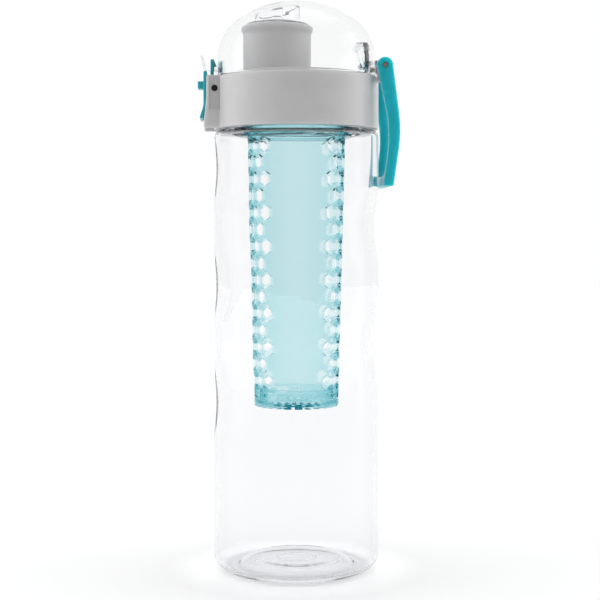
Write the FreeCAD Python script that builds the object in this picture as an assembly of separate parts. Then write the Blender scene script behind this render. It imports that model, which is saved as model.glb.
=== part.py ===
import FreeCAD, Part
import math
import os

# Fruit infuser water bottle, in millimetres.
# +Z is up, the bottle stands on z = 0 and its axis is the Z axis.
# The latch is at -X, the hinge with the carry handle at +X, and the front faces -Y.

# Running and seating clearances
pin_clearance = 0.05
press_clearance = 0.02
seat_clearance = 0.3
seal_clearance = 0.1
side_clearance = 0.4

# Bottle body
body_radius = 36.0
body_height = 191.5
body_wall = 2.0
shoulder_round = 3.0
base_round = 7.5
foot_width = 3.0
punt_height = 3.5
punt_slope = 4.5
gate_ring_radius = 8.5
gate_ring_width = 1.0
gate_ring_height = 0.6
neck_inset = 5.7
neck_wall = 2.0

# Finger grips: staggered rows of oval dents in the body wall
grip_rows = 5
grip_pitch = 25.3
grip_top = 174.5
grip_count = 3
grip_depth = 2.8
grip_height = 25.0
grip_azimuth = 15.0

# Lid collar with its deck and infuser socket
collar_height = 22.7
collar_round = 1.2
thread_room = 1.6
deck_thickness = 2.5
deck_rise = 1.5
deck_edge = 0.6
gasket_thickness = 1.5
gasket_lip = 0.2
socket_wall = 2.2
socket_lift = 0.5

# Clear dome lid
ledge_reveal = 1.4
dome_wall = 1.8
dome_lift = 0.2
dome_skirt = 8.0
dome_rise = 25.5
dome_shoulder = 21.0
deck_inset = 1.8

# Drinking spout and the seal that closes it
spout_offset = 8.5
spout_radius = 14.9
spout_wall = 2.2
spout_seat = 2.0
spout_flare = 0.9
spout_rim = 3.6
rim_room = 1.45
seal_lap = 1.2
seal_flange = 1.5
plug_room = 1.3
plug_depth = 3.5
seal_floor = 1.2
plug_skirt_radius = 10.0
plug_skirt_wall = 1.5
plug_stub_radius = 2.5
plug_stub_length = 2.6

# Vent valve in the deck, on the hinge side
vent_inset = 4.6
vent_cap_radius = 2.2
vent_cap_height = 2.4
vent_stem_radius = 1.1
vent_bulb_radius = 1.4
vent_bulb_height = 1.6

# Honeycomb infuser basket
basket_room = 3.9
basket_flange_width = 2.9
basket_taper = 3.1
basket_wall = 2.0
basket_neck_height = 14.5
basket_bottom = 74.5
flange_ring = 1.2
flange_groove = 1.0
flange_groove_depth = 1.4
hex_web = 0.62
hex_rows = 8
hex_columns = 5
hex_turn = 22.5
hex_flange_gap = 0.26
hex_bayonet_gap = 0.76

# Removable infuser base with its bayonet
base_ring_height = 3.0
base_plate = 1.8
base_slot_width = 1.5
base_slot_web = 0.95
base_slot_reach = 5.1
spigot_height = 5.0
spigot_wall = 1.5
lug_count = 3
lug_width = 16.0
lug_height = 1.8
lug_lift = 1.1
lug_azimuth = 60.0
lug_turn = 20.0
lug_side_room = 1.0

# Hinge shared by the dome and the carry handle
hinge_out = 1.1
hinge_up = 4.0
hinge_pin_radius = 1.25
knuckle_radius = 3.2
knuckle_half = 10.6
knuckle_web = 3.0
ear_width = 4.2
ear_radius = 2.7
ear_drop = 3.0
ear_root = 3.5

# Recess moulded into the dome above the hinge
recess_half = 6.2
recess_rise = 6.2
recess_low_inset = 5.6
recess_top_inset = 7.6

# Carry handle: a stirrup with a bent side profile
handle_arm = 4.0
handle_eye = 3.4
handle_thickness = 4.3
handle_knee_drop = 28.4
handle_knee_out = 4.8
handle_length = 51.8
handle_foot_out = 1.4
handle_bar = 4.6
handle_bend = 60.0
handle_corner = 5.0
handle_edge = 1.0

# Latch block on the collar
block_half = 12.5
block_cheek = 2.2
block_out_top = 3.3
block_out_bottom = 4.6
block_straight = 9.5
panel_recess = 0.5
panel_width = 4.7
panel_out = 2.2
panel_height = 14.9
latch_pin_radius = 1.4
latch_pin_inset = 0.2
latch_pin_drop = 5.6
hub_radius = 2.3

# Latch lever, its return spring and the lock slider
plate_thickness = 1.6
plate_out = 1.3
plate_straight = 15.0
plate_top_gap = 0.5
tail_drop = 5.4
tail_out = 1.8
web_height = 4.6
hook_half = 5.5
hook_thickness = 1.4
hook_catch = 1.0
barb_height = 3.3
barb_flat = 0.2
tab_half = 8.5
tab_lift = 2.4
tab_thickness = 1.5
tab_reach = 5.9
tab_wall = 1.1
tab_flare = 1.5
tab_rise = 4.9
window_side = 0.5
spring_half = 4.0
spring_thickness = 0.35
spring_length = 10.0
spring_drop = 8.4
slider_half = 3.5
slider_height = 3.4
slider_depth = 2.5
slider_lift = 0.4
slider_travel = 2.6
slider_tongue_half = 1.5
slider_tongue_depth = 0.8
slider_round = 0.6

# Levels and radii that follow from the values above
collar_radius = body_radius
neck_radius = body_radius - neck_inset
neck_bore = neck_radius - neck_wall
collar_bore = neck_radius + thread_room
collar_bottom = body_height + seat_clearance
collar_top = collar_bottom + collar_height
deck_under = collar_top - deck_thickness
deck_top = collar_top + deck_rise
neck_top = deck_under - gasket_thickness - seal_clearance

dome_radius = collar_radius - ledge_reveal
deck_radius = dome_radius - dome_wall - deck_inset
dome_bottom = collar_top + dome_lift
dome_spring = dome_bottom + dome_skirt
dome_crown = (
    (dome_radius - dome_shoulder) ** 2 + dome_rise**2 - dome_shoulder**2
) / (2 * (dome_rise - dome_shoulder))
dome_crown_z = dome_spring + dome_rise - dome_crown

flange_radius = neck_bore - basket_room
basket_top_radius = flange_radius - basket_flange_width
basket_bottom_radius = basket_top_radius - basket_taper
socket_bottom = collar_bottom + socket_lift
flange_top = socket_bottom - seat_clearance
flange_bottom = flange_top - 2 * flange_ring - flange_groove
basket_neck_radius = flange_radius - socket_wall - seal_clearance
socket_bore = basket_neck_radius + seat_clearance
socket_radius = socket_bore + socket_wall
hex_pitch = 2 * (basket_bottom_radius - basket_wall) * math.sin(math.radians(hex_turn / 2))
lug_low = basket_bottom + lug_lift
slot_low = lug_low - seat_clearance
slot_high = lug_low + lug_height + seat_clearance
hex_top = flange_bottom - hex_pitch / math.sqrt(3) - hex_flange_gap
hex_bottom = slot_high + hex_pitch / math.sqrt(3) + hex_bayonet_gap
hex_step = (hex_top - hex_bottom) / (2 * (hex_rows - 1))
hex_across = min(hex_pitch, math.hypot(hex_step, hex_pitch / 2)) - hex_web
spigot_radius = basket_bottom_radius - basket_wall - seat_clearance
spigot_bore = spigot_radius - spigot_wall

spout_bore = spout_radius - spout_wall
spout_rim_radius = spout_radius + spout_flare
spout_x = -spout_offset
seal_radius = spout_bore + seal_lap

hinge_x = collar_radius + hinge_out
hinge_z = collar_top + hinge_up
ear_start = knuckle_half + side_clearance
ear_end = ear_start + ear_width
arm_start = ear_end + side_clearance
arm_end = arm_start + handle_arm

latch_x = -(collar_radius - latch_pin_inset)
latch_z = collar_top - latch_pin_drop
pocket_half = block_half - block_cheek
lever_half = pocket_half - seat_clearance
plate_outer = -(collar_radius + block_out_top + plate_out)
plate_inner = plate_outer + plate_thickness
tab_bottom = collar_top + tab_lift
tab_top = tab_bottom + tab_thickness
plate_top = tab_bottom - plate_top_gap
barb_tip = -(dome_radius + seat_clearance)
window_inner = barb_tip - hook_catch
hook_inner = window_inner - seat_clearance
hook_outer = hook_inner - hook_thickness


def point(x, z, y=0.0):
    return FreeCAD.Vector(x, y, z)


def on_arc(centre, radius, degrees):
    # A point of the XZ plane on a circle, measured from +X towards +Z.
    turn = math.radians(degrees)
    return (centre[0] + radius * math.cos(turn), centre[1] + radius * math.sin(turn))


def outline(start, *steps):
    # A face in the XZ plane. A step is an end point, or an arc's middle and end points.
    edges = []
    here = start
    for step in steps:
        if isinstance(step[0], tuple):
            middle, end = step
            edges.append(Part.Arc(point(*here), point(*middle), point(*end)).toShape())
        else:
            end = step
            edges.append(Part.LineSegment(point(*here), point(*end)).toShape())
        here = end
    if here != start:
        edges.append(Part.LineSegment(point(*here), point(*start)).toShape())
    return Part.Face(Part.Wire(edges))


def turned(face, degrees=360.0, azimuth=0.0):
    solid = face.revolve(point(0, 0), point(0, 1), degrees)
    solid.rotate(point(0, 0), point(0, 1), azimuth)
    return solid


def slab(face, y_start, y_end):
    placed = face.translated(point(0, 0, y_start))
    return placed.extrude(point(0, 0, y_end - y_start))


def mirrored_slabs(face, y_start, y_end):
    near = slab(face, -y_end, -y_start)
    far = slab(face, y_start, y_end)
    return near.fuse(far)


def rod(radius, z_start, z_end, x=0.0, y=0.0):
    return Part.makeCylinder(radius, z_end - z_start, point(x, z_start, y))


def cross_rod(radius, x, z, half):
    return Part.makeCylinder(radius, 2 * half, point(x, z, -half), point(0, 0, 1))


def block(x_start, x_end, y_half, z_start, z_end):
    return Part.makeBox(
        x_end - x_start, 2 * y_half, z_end - z_start, point(x_start, z_start, -y_half)
    )


def sector(radius_in, radius_out, z_start, z_end, azimuth_start, azimuth_end):
    # A piece of a ring between two azimuths, measured from -Y towards +X.
    face = outline(
        (radius_in, z_start), (radius_out, z_start), (radius_out, z_end), (radius_in, z_end)
    )
    return turned(face, azimuth_end - azimuth_start, azimuth_start - 90.0)


def grip_dents(grown):
    # Rods lying across the wall; the inner skin takes the same rods grown by the wall.
    half_height = grip_height / 2
    rod_radius = (half_height**2 + grip_depth**2) / (2 * grip_depth)
    reach = body_radius - grip_depth + rod_radius
    length = 2 * body_radius
    dents = []
    for row in range(grip_rows):
        stagger = 180.0 / grip_count * (row % 2)
        for index in range(grip_count):
            azimuth = math.radians(grip_azimuth + stagger + 360.0 / grip_count * index - 90.0)
            out = FreeCAD.Vector(math.cos(azimuth), math.sin(azimuth), 0)
            along = FreeCAD.Vector(-math.sin(azimuth), math.cos(azimuth), 0)
            middle = out * reach + point(0, grip_top - row * grip_pitch)
            start = middle - along * (length / 2)
            dents.append(Part.makeCylinder(rod_radius + grown, length, start, along))
    return dents


def make_bottle_body():
    corner = (body_radius - base_round, base_round)
    shoulder = (body_radius - shoulder_round, body_height - shoulder_round)
    foot_inner = corner[0] - foot_width
    punt_radius = foot_inner - punt_slope
    outer = turned(
        outline(
            (0, punt_height),
            (punt_radius, punt_height),
            (foot_inner, 0),
            (corner[0], 0),
            (on_arc(corner, base_round, -45), (body_radius, base_round)),
            (body_radius, shoulder[1]),
            (on_arc(shoulder, shoulder_round, 45), (shoulder[0], body_height)),
            (neck_radius, body_height),
            (neck_radius, neck_top),
            (0, neck_top),
        )
    )
    inner_radius = body_radius - body_wall
    inner_round = base_round - body_wall
    ceiling = body_height - body_wall
    bend = neck_radius - neck_bore
    inner = turned(
        outline(
            (0, punt_height + body_wall),
            (punt_radius, punt_height + body_wall),
            (foot_inner, body_wall),
            (corner[0], body_wall),
            (on_arc(corner, inner_round, -45), (inner_radius, base_round)),
            (inner_radius, shoulder[1]),
            (neck_bore, ceiling + bend),
            (neck_bore, neck_top + body_wall),
            (0, neck_top + body_wall),
        )
    )
    gate_ring = rod(gate_ring_radius, punt_height - gate_ring_height, punt_height)
    gate_ring = gate_ring.cut(rod(gate_ring_radius - gate_ring_width, 0, punt_height))
    shell = outer.cut(grip_dents(0.0)).cut(inner.cut(grip_dents(body_wall)))
    return shell.fuse(gate_ring).removeSplitter()


def make_neck_gasket():
    low = neck_top + seal_clearance
    ring = rod(neck_radius, low, deck_under)
    return ring.cut(rod(neck_bore - gasket_lip, low, deck_under))


def collar_ring():
    edge = (collar_radius - collar_round, collar_top - collar_round)
    return turned(
        outline(
            (0, deck_under),
            (socket_bore, deck_under),
            (socket_bore, socket_bottom),
            (socket_radius, socket_bottom),
            (socket_radius, deck_under),
            (collar_bore, deck_under),
            (collar_bore, collar_bottom),
            (collar_radius - deck_edge, collar_bottom),
            (collar_radius, collar_bottom + deck_edge),
            (collar_radius, edge[1]),
            (on_arc(edge, collar_round, 45), (edge[0], collar_top)),
            (deck_radius, collar_top),
            (deck_radius, deck_top - deck_edge),
            (deck_radius - deck_edge, deck_top),
            (0, deck_top),
        )
    )


def latch_cheeks():
    # Two cheeks that stand off the collar and carry the latch pin, with a shallow panel outside.
    outer_top = -(collar_radius + block_out_top)
    outer_bottom = -(collar_radius + block_out_bottom)
    root = -collar_bore
    side = outline(
        (root, collar_bottom),
        (outer_bottom, collar_bottom),
        (outer_top, collar_top - block_straight),
        (outer_top, collar_top),
        (root, collar_top),
    )
    cheeks = mirrored_slabs(side, pocket_half, block_half)
    panel_end = -(collar_radius + panel_out)
    panel = outline(
        (panel_end, collar_top - panel_height),
        (panel_end + panel_width, collar_top - panel_height),
        (panel_end + panel_width, collar_top),
        (panel_end, collar_top),
    )
    return cheeks.cut(mirrored_slabs(panel, block_half - panel_recess, block_half))


def hinge_ears():
    root = math.sqrt(((collar_bore + collar_radius) / 2) ** 2 - ear_start**2)
    root_z = collar_top - ear_drop
    inner_x = hinge_x - ear_radius
    side = outline(
        (inner_x, hinge_z),
        (inner_x, collar_top - collar_round),
        (root, collar_top - collar_round),
        (root, root_z),
        (root + ear_root, root_z),
        (hinge_x + ear_radius, hinge_z),
        (on_arc((hinge_x, hinge_z), ear_radius, 90), (inner_x, hinge_z)),
    )
    return mirrored_slabs(side, ear_start, ear_end)


def make_lid_collar():
    collar = collar_ring().fuse(latch_cheeks()).fuse(hinge_ears())
    hub_pocket = block(
        plate_outer,
        latch_x + hub_radius + seat_clearance,
        pocket_half,
        latch_z - hub_radius - seat_clearance,
        deck_top,
    )
    cuts = [
        hub_pocket,
        rod(spout_bore, 0, deck_top, spout_x),
        rod(spout_radius + press_clearance, deck_top - spout_seat, deck_top, spout_x),
        rod(vent_stem_radius + press_clearance, 0, deck_top, deck_radius - vent_inset),
        cross_rod(latch_pin_radius + press_clearance, latch_x, latch_z, block_half),
        cross_rod(hinge_pin_radius + press_clearance, hinge_x, hinge_z, ear_end),
    ]
    return collar.cut(cuts).removeSplitter()


def dome_inner_height(radius):
    # Height of the dome's inside above a point at this distance from the axis.
    turn = math.atan2(dome_radius - dome_shoulder, dome_spring - dome_crown_z)
    if radius < (dome_crown - dome_wall) * math.sin(turn):
        return dome_crown_z + math.sqrt((dome_crown - dome_wall) ** 2 - radius**2)
    off_centre = radius - (dome_radius - dome_shoulder)
    return dome_spring + math.sqrt((dome_shoulder - dome_wall) ** 2 - off_centre**2)


spout_top = dome_inner_height(spout_offset + spout_rim_radius) - rim_room
seal_low = spout_top + seat_clearance
seal_high = seal_low + seal_flange


def make_spout():
    foot = deck_top - spout_seat
    lip = (spout_rim_radius - spout_flare, spout_top - spout_flare)
    inner_edge = spout_bore + spout_flare / 2
    wall = turned(
        outline(
            (spout_bore, foot),
            (spout_radius, foot),
            (spout_radius, spout_top - spout_rim),
            (spout_rim_radius, spout_top - spout_rim / 2),
            (spout_rim_radius, lip[1]),
            (on_arc(lip, spout_flare, 45), (lip[0], spout_top)),
            (inner_edge, spout_top),
            (spout_bore, spout_top - spout_flare),
        )
    )
    return wall.translated(point(spout_x, 0))


def make_vent_plug():
    under = deck_under - vent_bulb_height
    cap_round = vent_cap_height / 2
    profile = outline(
        (0, under),
        (vent_stem_radius / 2, under),
        (vent_bulb_radius, deck_under),
        (vent_stem_radius, deck_under),
        (vent_stem_radius, deck_top),
        (vent_cap_radius, deck_top),
        (vent_cap_radius, deck_top + vent_cap_height - cap_round),
        (vent_cap_radius - cap_round / 2, deck_top + vent_cap_height),
        (0, deck_top + vent_cap_height),
    )
    return turned(profile).translated(point(deck_radius - vent_inset, 0))


def basket_radius_at(z):
    share = (z - basket_bottom) / (flange_bottom - basket_bottom)
    return basket_bottom_radius + basket_taper * share


def honeycomb_holes():
    # Hexagonal holes on both sides, in rows of five and four; front and back stay closed.
    holes = []
    for row in range(2 * hex_rows - 1):
        z = hex_top - row * hex_step
        count = hex_columns - row % 2
        radius = basket_radius_at(z)
        corner = hex_across / math.sqrt(3)
        corners = [
            FreeCAD.Vector(
                radius - 2 * basket_wall,
                corner * math.sin(math.radians(60 * index)),
                z + corner * math.cos(math.radians(60 * index)),
            )
            for index in range(6)
        ]
        hexagon = Part.Face(Part.makePolygon(corners + corners[:1]))
        prism = hexagon.extrude(point(3 * basket_wall, 0))
        for side in (0.0, 180.0):
            for index in range(count):
                hole = prism.copy()
                offset = (index - (count - 1) / 2) * hex_turn
                hole.rotate(point(0, 0), point(0, 1), side + offset)
                holes.append(hole)
    return holes


def bayonet_slots():
    # An entry from the lower edge and a run sideways, for each lug of the base.
    radius_in = basket_bottom_radius - 2 * basket_wall
    radius_out = basket_top_radius
    side = lug_width / 2 + lug_side_room
    slots = []
    for index in range(lug_count):
        middle = lug_azimuth + 360.0 / lug_count * index
        run_end = middle + lug_turn + side
        slots.append(sector(radius_in, radius_out, slot_low, slot_high, middle - side, run_end))
        entry_start = run_end - 2 * side
        slots.append(sector(radius_in, radius_out, basket_bottom, slot_high, entry_start, run_end))
    return slots


def make_infuser_basket():
    groove_low = flange_bottom + flange_ring
    groove_high = groove_low + flange_groove
    groove_radius = flange_radius - flange_groove_depth
    neck_end = flange_top + basket_neck_height
    neck_inner = basket_neck_radius - basket_wall
    shell = turned(
        outline(
            (neck_inner, neck_end),
            (basket_neck_radius, neck_end),
            (basket_neck_radius, flange_top),
            (flange_radius, flange_top),
            (flange_radius, groove_high),
            (groove_radius, groove_high),
            (groove_radius, groove_low),
            (flange_radius, groove_low),
            (flange_radius, flange_bottom),
            (basket_top_radius, flange_bottom),
            (basket_bottom_radius, basket_bottom),
            (basket_bottom_radius - basket_wall, basket_bottom),
            (basket_top_radius - basket_wall, flange_bottom),
            (neck_inner, flange_top),
        )
    )
    return shell.cut(honeycomb_holes() + bayonet_slots()).removeSplitter()


def make_infuser_base():
    ring_top = basket_bottom - seat_clearance
    ring_bottom = ring_top - base_ring_height
    plate_top_z = ring_bottom + base_plate
    spigot_top = ring_top + spigot_height
    cup = rod(basket_bottom_radius, ring_bottom, ring_top)
    cup = cup.fuse(rod(spigot_radius, ring_bottom, spigot_top))
    cup = cup.cut(rod(spigot_bore, plate_top_z, spigot_top))
    for index in range(lug_count):
        middle = lug_azimuth + 360.0 / lug_count * index
        lug = sector(
            spigot_radius - spigot_wall / 2,
            basket_bottom_radius,
            lug_low,
            lug_low + lug_height,
            middle - lug_width / 2,
            middle + lug_width / 2,
        )
        cup = cup.fuse(lug)
    slot_start = spigot_bore - base_slot_reach
    slot_count = int(2 * math.pi * slot_start / (base_slot_width + base_slot_web))
    slots = []
    for index in range(slot_count):
        slot = block(
            slot_start,
            basket_bottom_radius + basket_wall,
            base_slot_width / 2,
            ring_bottom,
            plate_top_z,
        )
        slot.rotate(point(0, 0), point(0, 1), 360.0 / slot_count * (index + 0.5))
        slots.append(slot)
    return cup.cut(slots).removeSplitter()


def dome_solid(inset, bottom):
    # The dome's skin: a straight skirt, a shoulder arc and a crown arc that meet smoothly.
    turn = math.degrees(
        math.atan2(dome_spring - dome_crown_z, dome_radius - dome_shoulder)
    )
    shoulder = (dome_radius - dome_shoulder, dome_spring)
    crown = (0, dome_crown_z)
    shoulder_radius = dome_shoulder - inset
    crown_radius = dome_crown - inset
    return turned(
        outline(
            (0, bottom),
            (dome_radius - inset, bottom),
            (dome_radius - inset, dome_spring),
            (on_arc(shoulder, shoulder_radius, turn / 2), on_arc(shoulder, shoulder_radius, turn)),
            (on_arc(crown, crown_radius, (turn + 90) / 2), on_arc(crown, crown_radius, 90)),
        )
    )


def latch_tab():
    # The lip that the thumb lifts: a ledge with a flared wall and a window for the latch hook.
    reach = -(dome_radius + tab_reach)
    side = outline(
        (-dome_radius + dome_wall / 2, tab_bottom),
        (reach, tab_bottom),
        (reach - tab_flare, tab_top + tab_rise),
        (reach - tab_flare + tab_wall, tab_top + tab_rise),
        (reach + tab_wall, tab_top),
        (-dome_radius + dome_wall / 2, tab_top),
    )
    window = block(
        reach + tab_wall, window_inner, hook_half + window_side, tab_bottom, tab_top
    )
    return slab(side, -tab_half, tab_half).cut(window)


def hinge_knuckle():
    web = block(
        dome_radius - dome_wall,
        hinge_x,
        knuckle_half,
        hinge_z - knuckle_web,
        hinge_z + knuckle_web,
    )
    barrel = cross_rod(knuckle_radius, hinge_x, hinge_z, knuckle_half)
    return web.fuse(barrel)


def hinge_recess(grown, low, outer_x):
    # A leaning niche above the hinge; grown by the wall it gives the housing around it.
    low_x = dome_radius - recess_low_inset - grown
    top_x = dome_radius - recess_top_inset - grown
    lean = (low_x - top_x) / recess_rise
    sill = hinge_z + knuckle_web
    top = sill + recess_rise + grown
    side = outline(
        (low_x + lean * (sill - low), low),
        (low_x - lean * (top - sill), top),
        (outer_x, top),
        (outer_x, low),
    )
    return slab(side, -recess_half - grown, recess_half + grown)


def make_dome_lid():
    outer = dome_solid(0.0, dome_bottom)
    inner = dome_solid(dome_wall, dome_bottom)
    cup = outer.fuse([latch_tab(), hinge_knuckle()]).cut(inner)
    housing_low = deck_top + vent_cap_height + side_clearance
    housing = hinge_recess(dome_wall, housing_low, dome_radius)
    cup = cup.fuse(housing.common(dome_solid(dome_wall / 2, dome_bottom)))
    cup = cup.cut(hinge_recess(0.0, hinge_z + knuckle_web, dome_radius + seat_clearance))
    skirt = rod(plug_skirt_radius, seal_high, dome_spring + dome_rise, spout_x)
    skirt = skirt.cut(
        rod(plug_skirt_radius - plug_skirt_wall, seal_high, dome_spring + dome_rise, spout_x)
    )
    stub_low = seal_high - plug_stub_length
    stub = rod(plug_stub_radius, stub_low, dome_spring + dome_rise, spout_x)
    plug = skirt.fuse(stub).common(dome_solid(dome_wall / 2, dome_bottom))
    pin_hole = cross_rod(hinge_pin_radius + pin_clearance, hinge_x, hinge_z, knuckle_half)
    return cup.fuse(plug).cut(pin_hole).removeSplitter()


def make_spout_seal():
    plug_radius = spout_bore - plug_room
    plug_low = seal_low - plug_depth
    pocket = plug_low + seal_floor
    inner_radius = plug_radius - plug_skirt_wall
    stub_hole = plug_stub_radius + press_clearance
    boss_radius = 2 * plug_stub_radius
    profile = outline(
        (0, plug_low),
        (plug_radius - seal_floor, plug_low),
        (plug_radius, plug_low + seal_floor),
        (plug_radius, seal_low),
        (seal_radius, seal_low),
        (seal_radius, seal_high),
        (plug_skirt_radius - plug_skirt_wall, seal_high),
        (plug_skirt_radius - plug_skirt_wall, pocket),
        (boss_radius, pocket),
        (boss_radius, seal_low),
        (stub_hole, seal_low),
        (stub_hole, pocket),
        (0, pocket),
    )
    return turned(profile).translated(point(spout_x, 0))


def make_hinge_pin():
    return cross_rod(hinge_pin_radius, hinge_x, hinge_z, arm_end - seat_clearance)


def make_carry_handle():
    knee = (hinge_x + handle_knee_out, hinge_z - handle_knee_drop)
    foot = (hinge_x + handle_foot_out, hinge_z - handle_length)
    half = handle_thickness / 2
    eye = (hinge_x, hinge_z)
    side = outline(
        (eye[0] + handle_eye, eye[1]),
        (knee[0] + half, knee[1]),
        (foot[0] + half, foot[1]),
        (foot[0] - half, foot[1]),
        (knee[0] - half, knee[1]),
        (eye[0] - handle_eye, eye[1]),
        (on_arc(eye, handle_eye, 90), (eye[0] + handle_eye, eye[1])),
    )
    stirrup = slab(side, -arm_end, arm_end)
    bends = [
        edge
        for edge in stirrup.Edges
        if abs(edge.CenterOfMass.y) < handle_edge and abs(edge.CenterOfMass.z - knee[1]) < half
    ]
    stirrup = stirrup.makeFillet(handle_bend, bends)
    gap_bottom = foot[1] + handle_bar
    gap = block(
        foot[0] - body_radius,
        foot[0] + body_radius,
        arm_start,
        gap_bottom,
        hinge_z + 2 * handle_eye,
    )
    corners = [
        edge for edge in gap.Edges if abs(edge.CenterOfMass.z - gap_bottom) < half
        and abs(abs(edge.CenterOfMass.y) - arm_start) < handle_edge / 2
        and abs(edge.CenterOfMass.x - foot[0]) < half
    ]
    stirrup = stirrup.cut(gap.makeFillet(handle_corner, corners))
    outer_edges = [
        edge for edge in stirrup.Edges if abs(abs(edge.CenterOfMass.y) - arm_end) < handle_edge / 2
    ]
    stirrup = stirrup.makeFillet(handle_edge, outer_edges)
    return stirrup.cut(cross_rod(hinge_pin_radius + pin_clearance, hinge_x, hinge_z, arm_end))


def make_latch_lever():
    plate_low = plate_top - plate_straight
    tail = (plate_outer - tail_out, plate_low - tail_drop)
    plate = outline(
        (plate_outer, plate_top),
        (plate_outer, plate_low),
        tail,
        (tail[0] + plate_thickness, tail[1]),
        (plate_inner, plate_low),
        (plate_inner, plate_top),
    )
    web = outline(
        (plate_inner, latch_z - web_height / 2),
        (latch_x, latch_z - hub_radius),
        (latch_x, latch_z + hub_radius),
        (plate_inner, latch_z + web_height / 2),
    )
    barb_low = tab_top + seat_clearance
    barb_high = barb_low + barb_height
    hook = outline(
        (hook_inner, latch_z),
        (hook_inner, barb_low),
        (barb_tip, barb_low),
        (barb_tip, barb_low + barb_flat),
        (hook_inner, barb_high),
        (hook_outer, barb_high),
        (hook_outer, latch_z),
    )
    lever = slab(plate, -lever_half, lever_half)
    lever = lever.fuse(slab(web, -lever_half, lever_half))
    lever = lever.fuse(slab(hook, -hook_half, hook_half))
    lever = lever.fuse(cross_rod(hub_radius, latch_x, latch_z, lever_half))
    groove_low = latch_z + slider_lift - seat_clearance
    groove_high = groove_low + slider_height + slider_travel + 2 * seat_clearance
    groove = block(
        plate_outer,
        plate_outer + slider_tongue_depth + seal_clearance,
        slider_tongue_half + seal_clearance,
        groove_low,
        groove_high,
    )
    pin_hole = cross_rod(latch_pin_radius + pin_clearance, latch_x, latch_z, lever_half)
    return lever.cut([groove, pin_hole]).removeSplitter()


def make_latch_pin():
    return cross_rod(latch_pin_radius, latch_x, latch_z, block_half - panel_recess)


def make_latch_spring():
    # A bowed leaf between the collar wall and the lever's plate.
    middle = latch_z - spring_drop
    seat = -(collar_radius + seat_clearance)
    crest = plate_inner + seat_clearance
    high = middle + spring_length / 2
    low = middle - spring_length / 2
    leaf = outline(
        (seat, high),
        (seat - spring_thickness, high),
        ((crest, middle), (seat - spring_thickness, low)),
        (seat, low),
        ((crest + spring_thickness, middle), (seat, high)),
    )
    return slab(leaf, -spring_half, spring_half)


def make_lock_slider():
    low = latch_z + slider_lift
    face = plate_outer - seal_clearance
    nub = block(face - slider_depth, face, slider_half, low, low + slider_height)
    nub_edges = [
        edge for edge in nub.Edges if abs(edge.CenterOfMass.x - (face - slider_depth)) < slider_round
    ]
    nub = nub.makeFillet(slider_round, nub_edges)
    tongue = block(
        face, plate_outer + slider_tongue_depth, slider_tongue_half, low, low + slider_height
    )
    return nub.fuse(tongue)


pieces = {
    "bottle_body": make_bottle_body,
    "neck_gasket": make_neck_gasket,
    "lid_collar": make_lid_collar,
    "spout": make_spout,
    "vent_plug": make_vent_plug,
    "infuser_basket": make_infuser_basket,
    "infuser_base": make_infuser_base,
    "dome_lid": make_dome_lid,
    "spout_seal": make_spout_seal,
    "hinge_pin": make_hinge_pin,
    "carry_handle": make_carry_handle,
    "latch_lever": make_latch_lever,
    "latch_pin": make_latch_pin,
    "latch_spring": make_latch_spring,
    "lock_slider": make_lock_slider,
}

os.makedirs("parts", exist_ok=True)
for name, make in pieces.items():
    solid = make()
    solid.exportStep(f"parts/{name}.step")
    print(name, "solids", len(solid.Solids), "valid", solid.isValid(), "mm3", round(solid.Volume, 1))
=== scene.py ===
import math

import bmesh
import bpy
from mathutils import Matrix, Vector


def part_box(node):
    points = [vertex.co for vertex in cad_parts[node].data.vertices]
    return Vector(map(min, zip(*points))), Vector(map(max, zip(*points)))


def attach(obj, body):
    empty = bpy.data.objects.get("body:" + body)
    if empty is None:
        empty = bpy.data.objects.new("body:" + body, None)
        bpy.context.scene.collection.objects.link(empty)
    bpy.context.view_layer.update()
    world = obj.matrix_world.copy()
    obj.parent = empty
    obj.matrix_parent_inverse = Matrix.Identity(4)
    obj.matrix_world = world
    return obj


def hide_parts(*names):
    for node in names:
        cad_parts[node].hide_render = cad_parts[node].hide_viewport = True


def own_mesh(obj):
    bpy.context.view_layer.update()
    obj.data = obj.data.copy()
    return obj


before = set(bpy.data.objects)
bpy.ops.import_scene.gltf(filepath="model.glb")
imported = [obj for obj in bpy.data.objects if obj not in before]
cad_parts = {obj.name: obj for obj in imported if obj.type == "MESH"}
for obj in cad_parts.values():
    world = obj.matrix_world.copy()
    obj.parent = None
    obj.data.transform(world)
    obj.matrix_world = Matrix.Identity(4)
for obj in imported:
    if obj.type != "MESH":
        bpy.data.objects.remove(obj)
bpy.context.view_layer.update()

scene = bpy.context.scene
print("frame loaded:", len(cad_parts), "nodes")

# All shapes are drawn in millimetres and brought to metres when a piece is finished
mm = 0.001
mergeReach = 0.0005  # points closer than this are one
wallReach = 0.01  # a point this near to a radius lies on that wall
seatGap = 0.3  # between the bottle's shoulder and the collar
proud = 1.0  # how far a cutter or a root reaches past a surface
pinReach = 25.0  # half the length of a pin hole's cutter
frontAzimuth = -90.0  # azimuths are counted from the front, which is -Y


def boxOf(node):
    low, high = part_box(node)
    return low / mm, high / mm


# Outlines and meshes

arcStep = math.radians(12)  # widest turn between two points of a rounded corner
arcLength = 3.0  # longest step along a rounded corner


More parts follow.
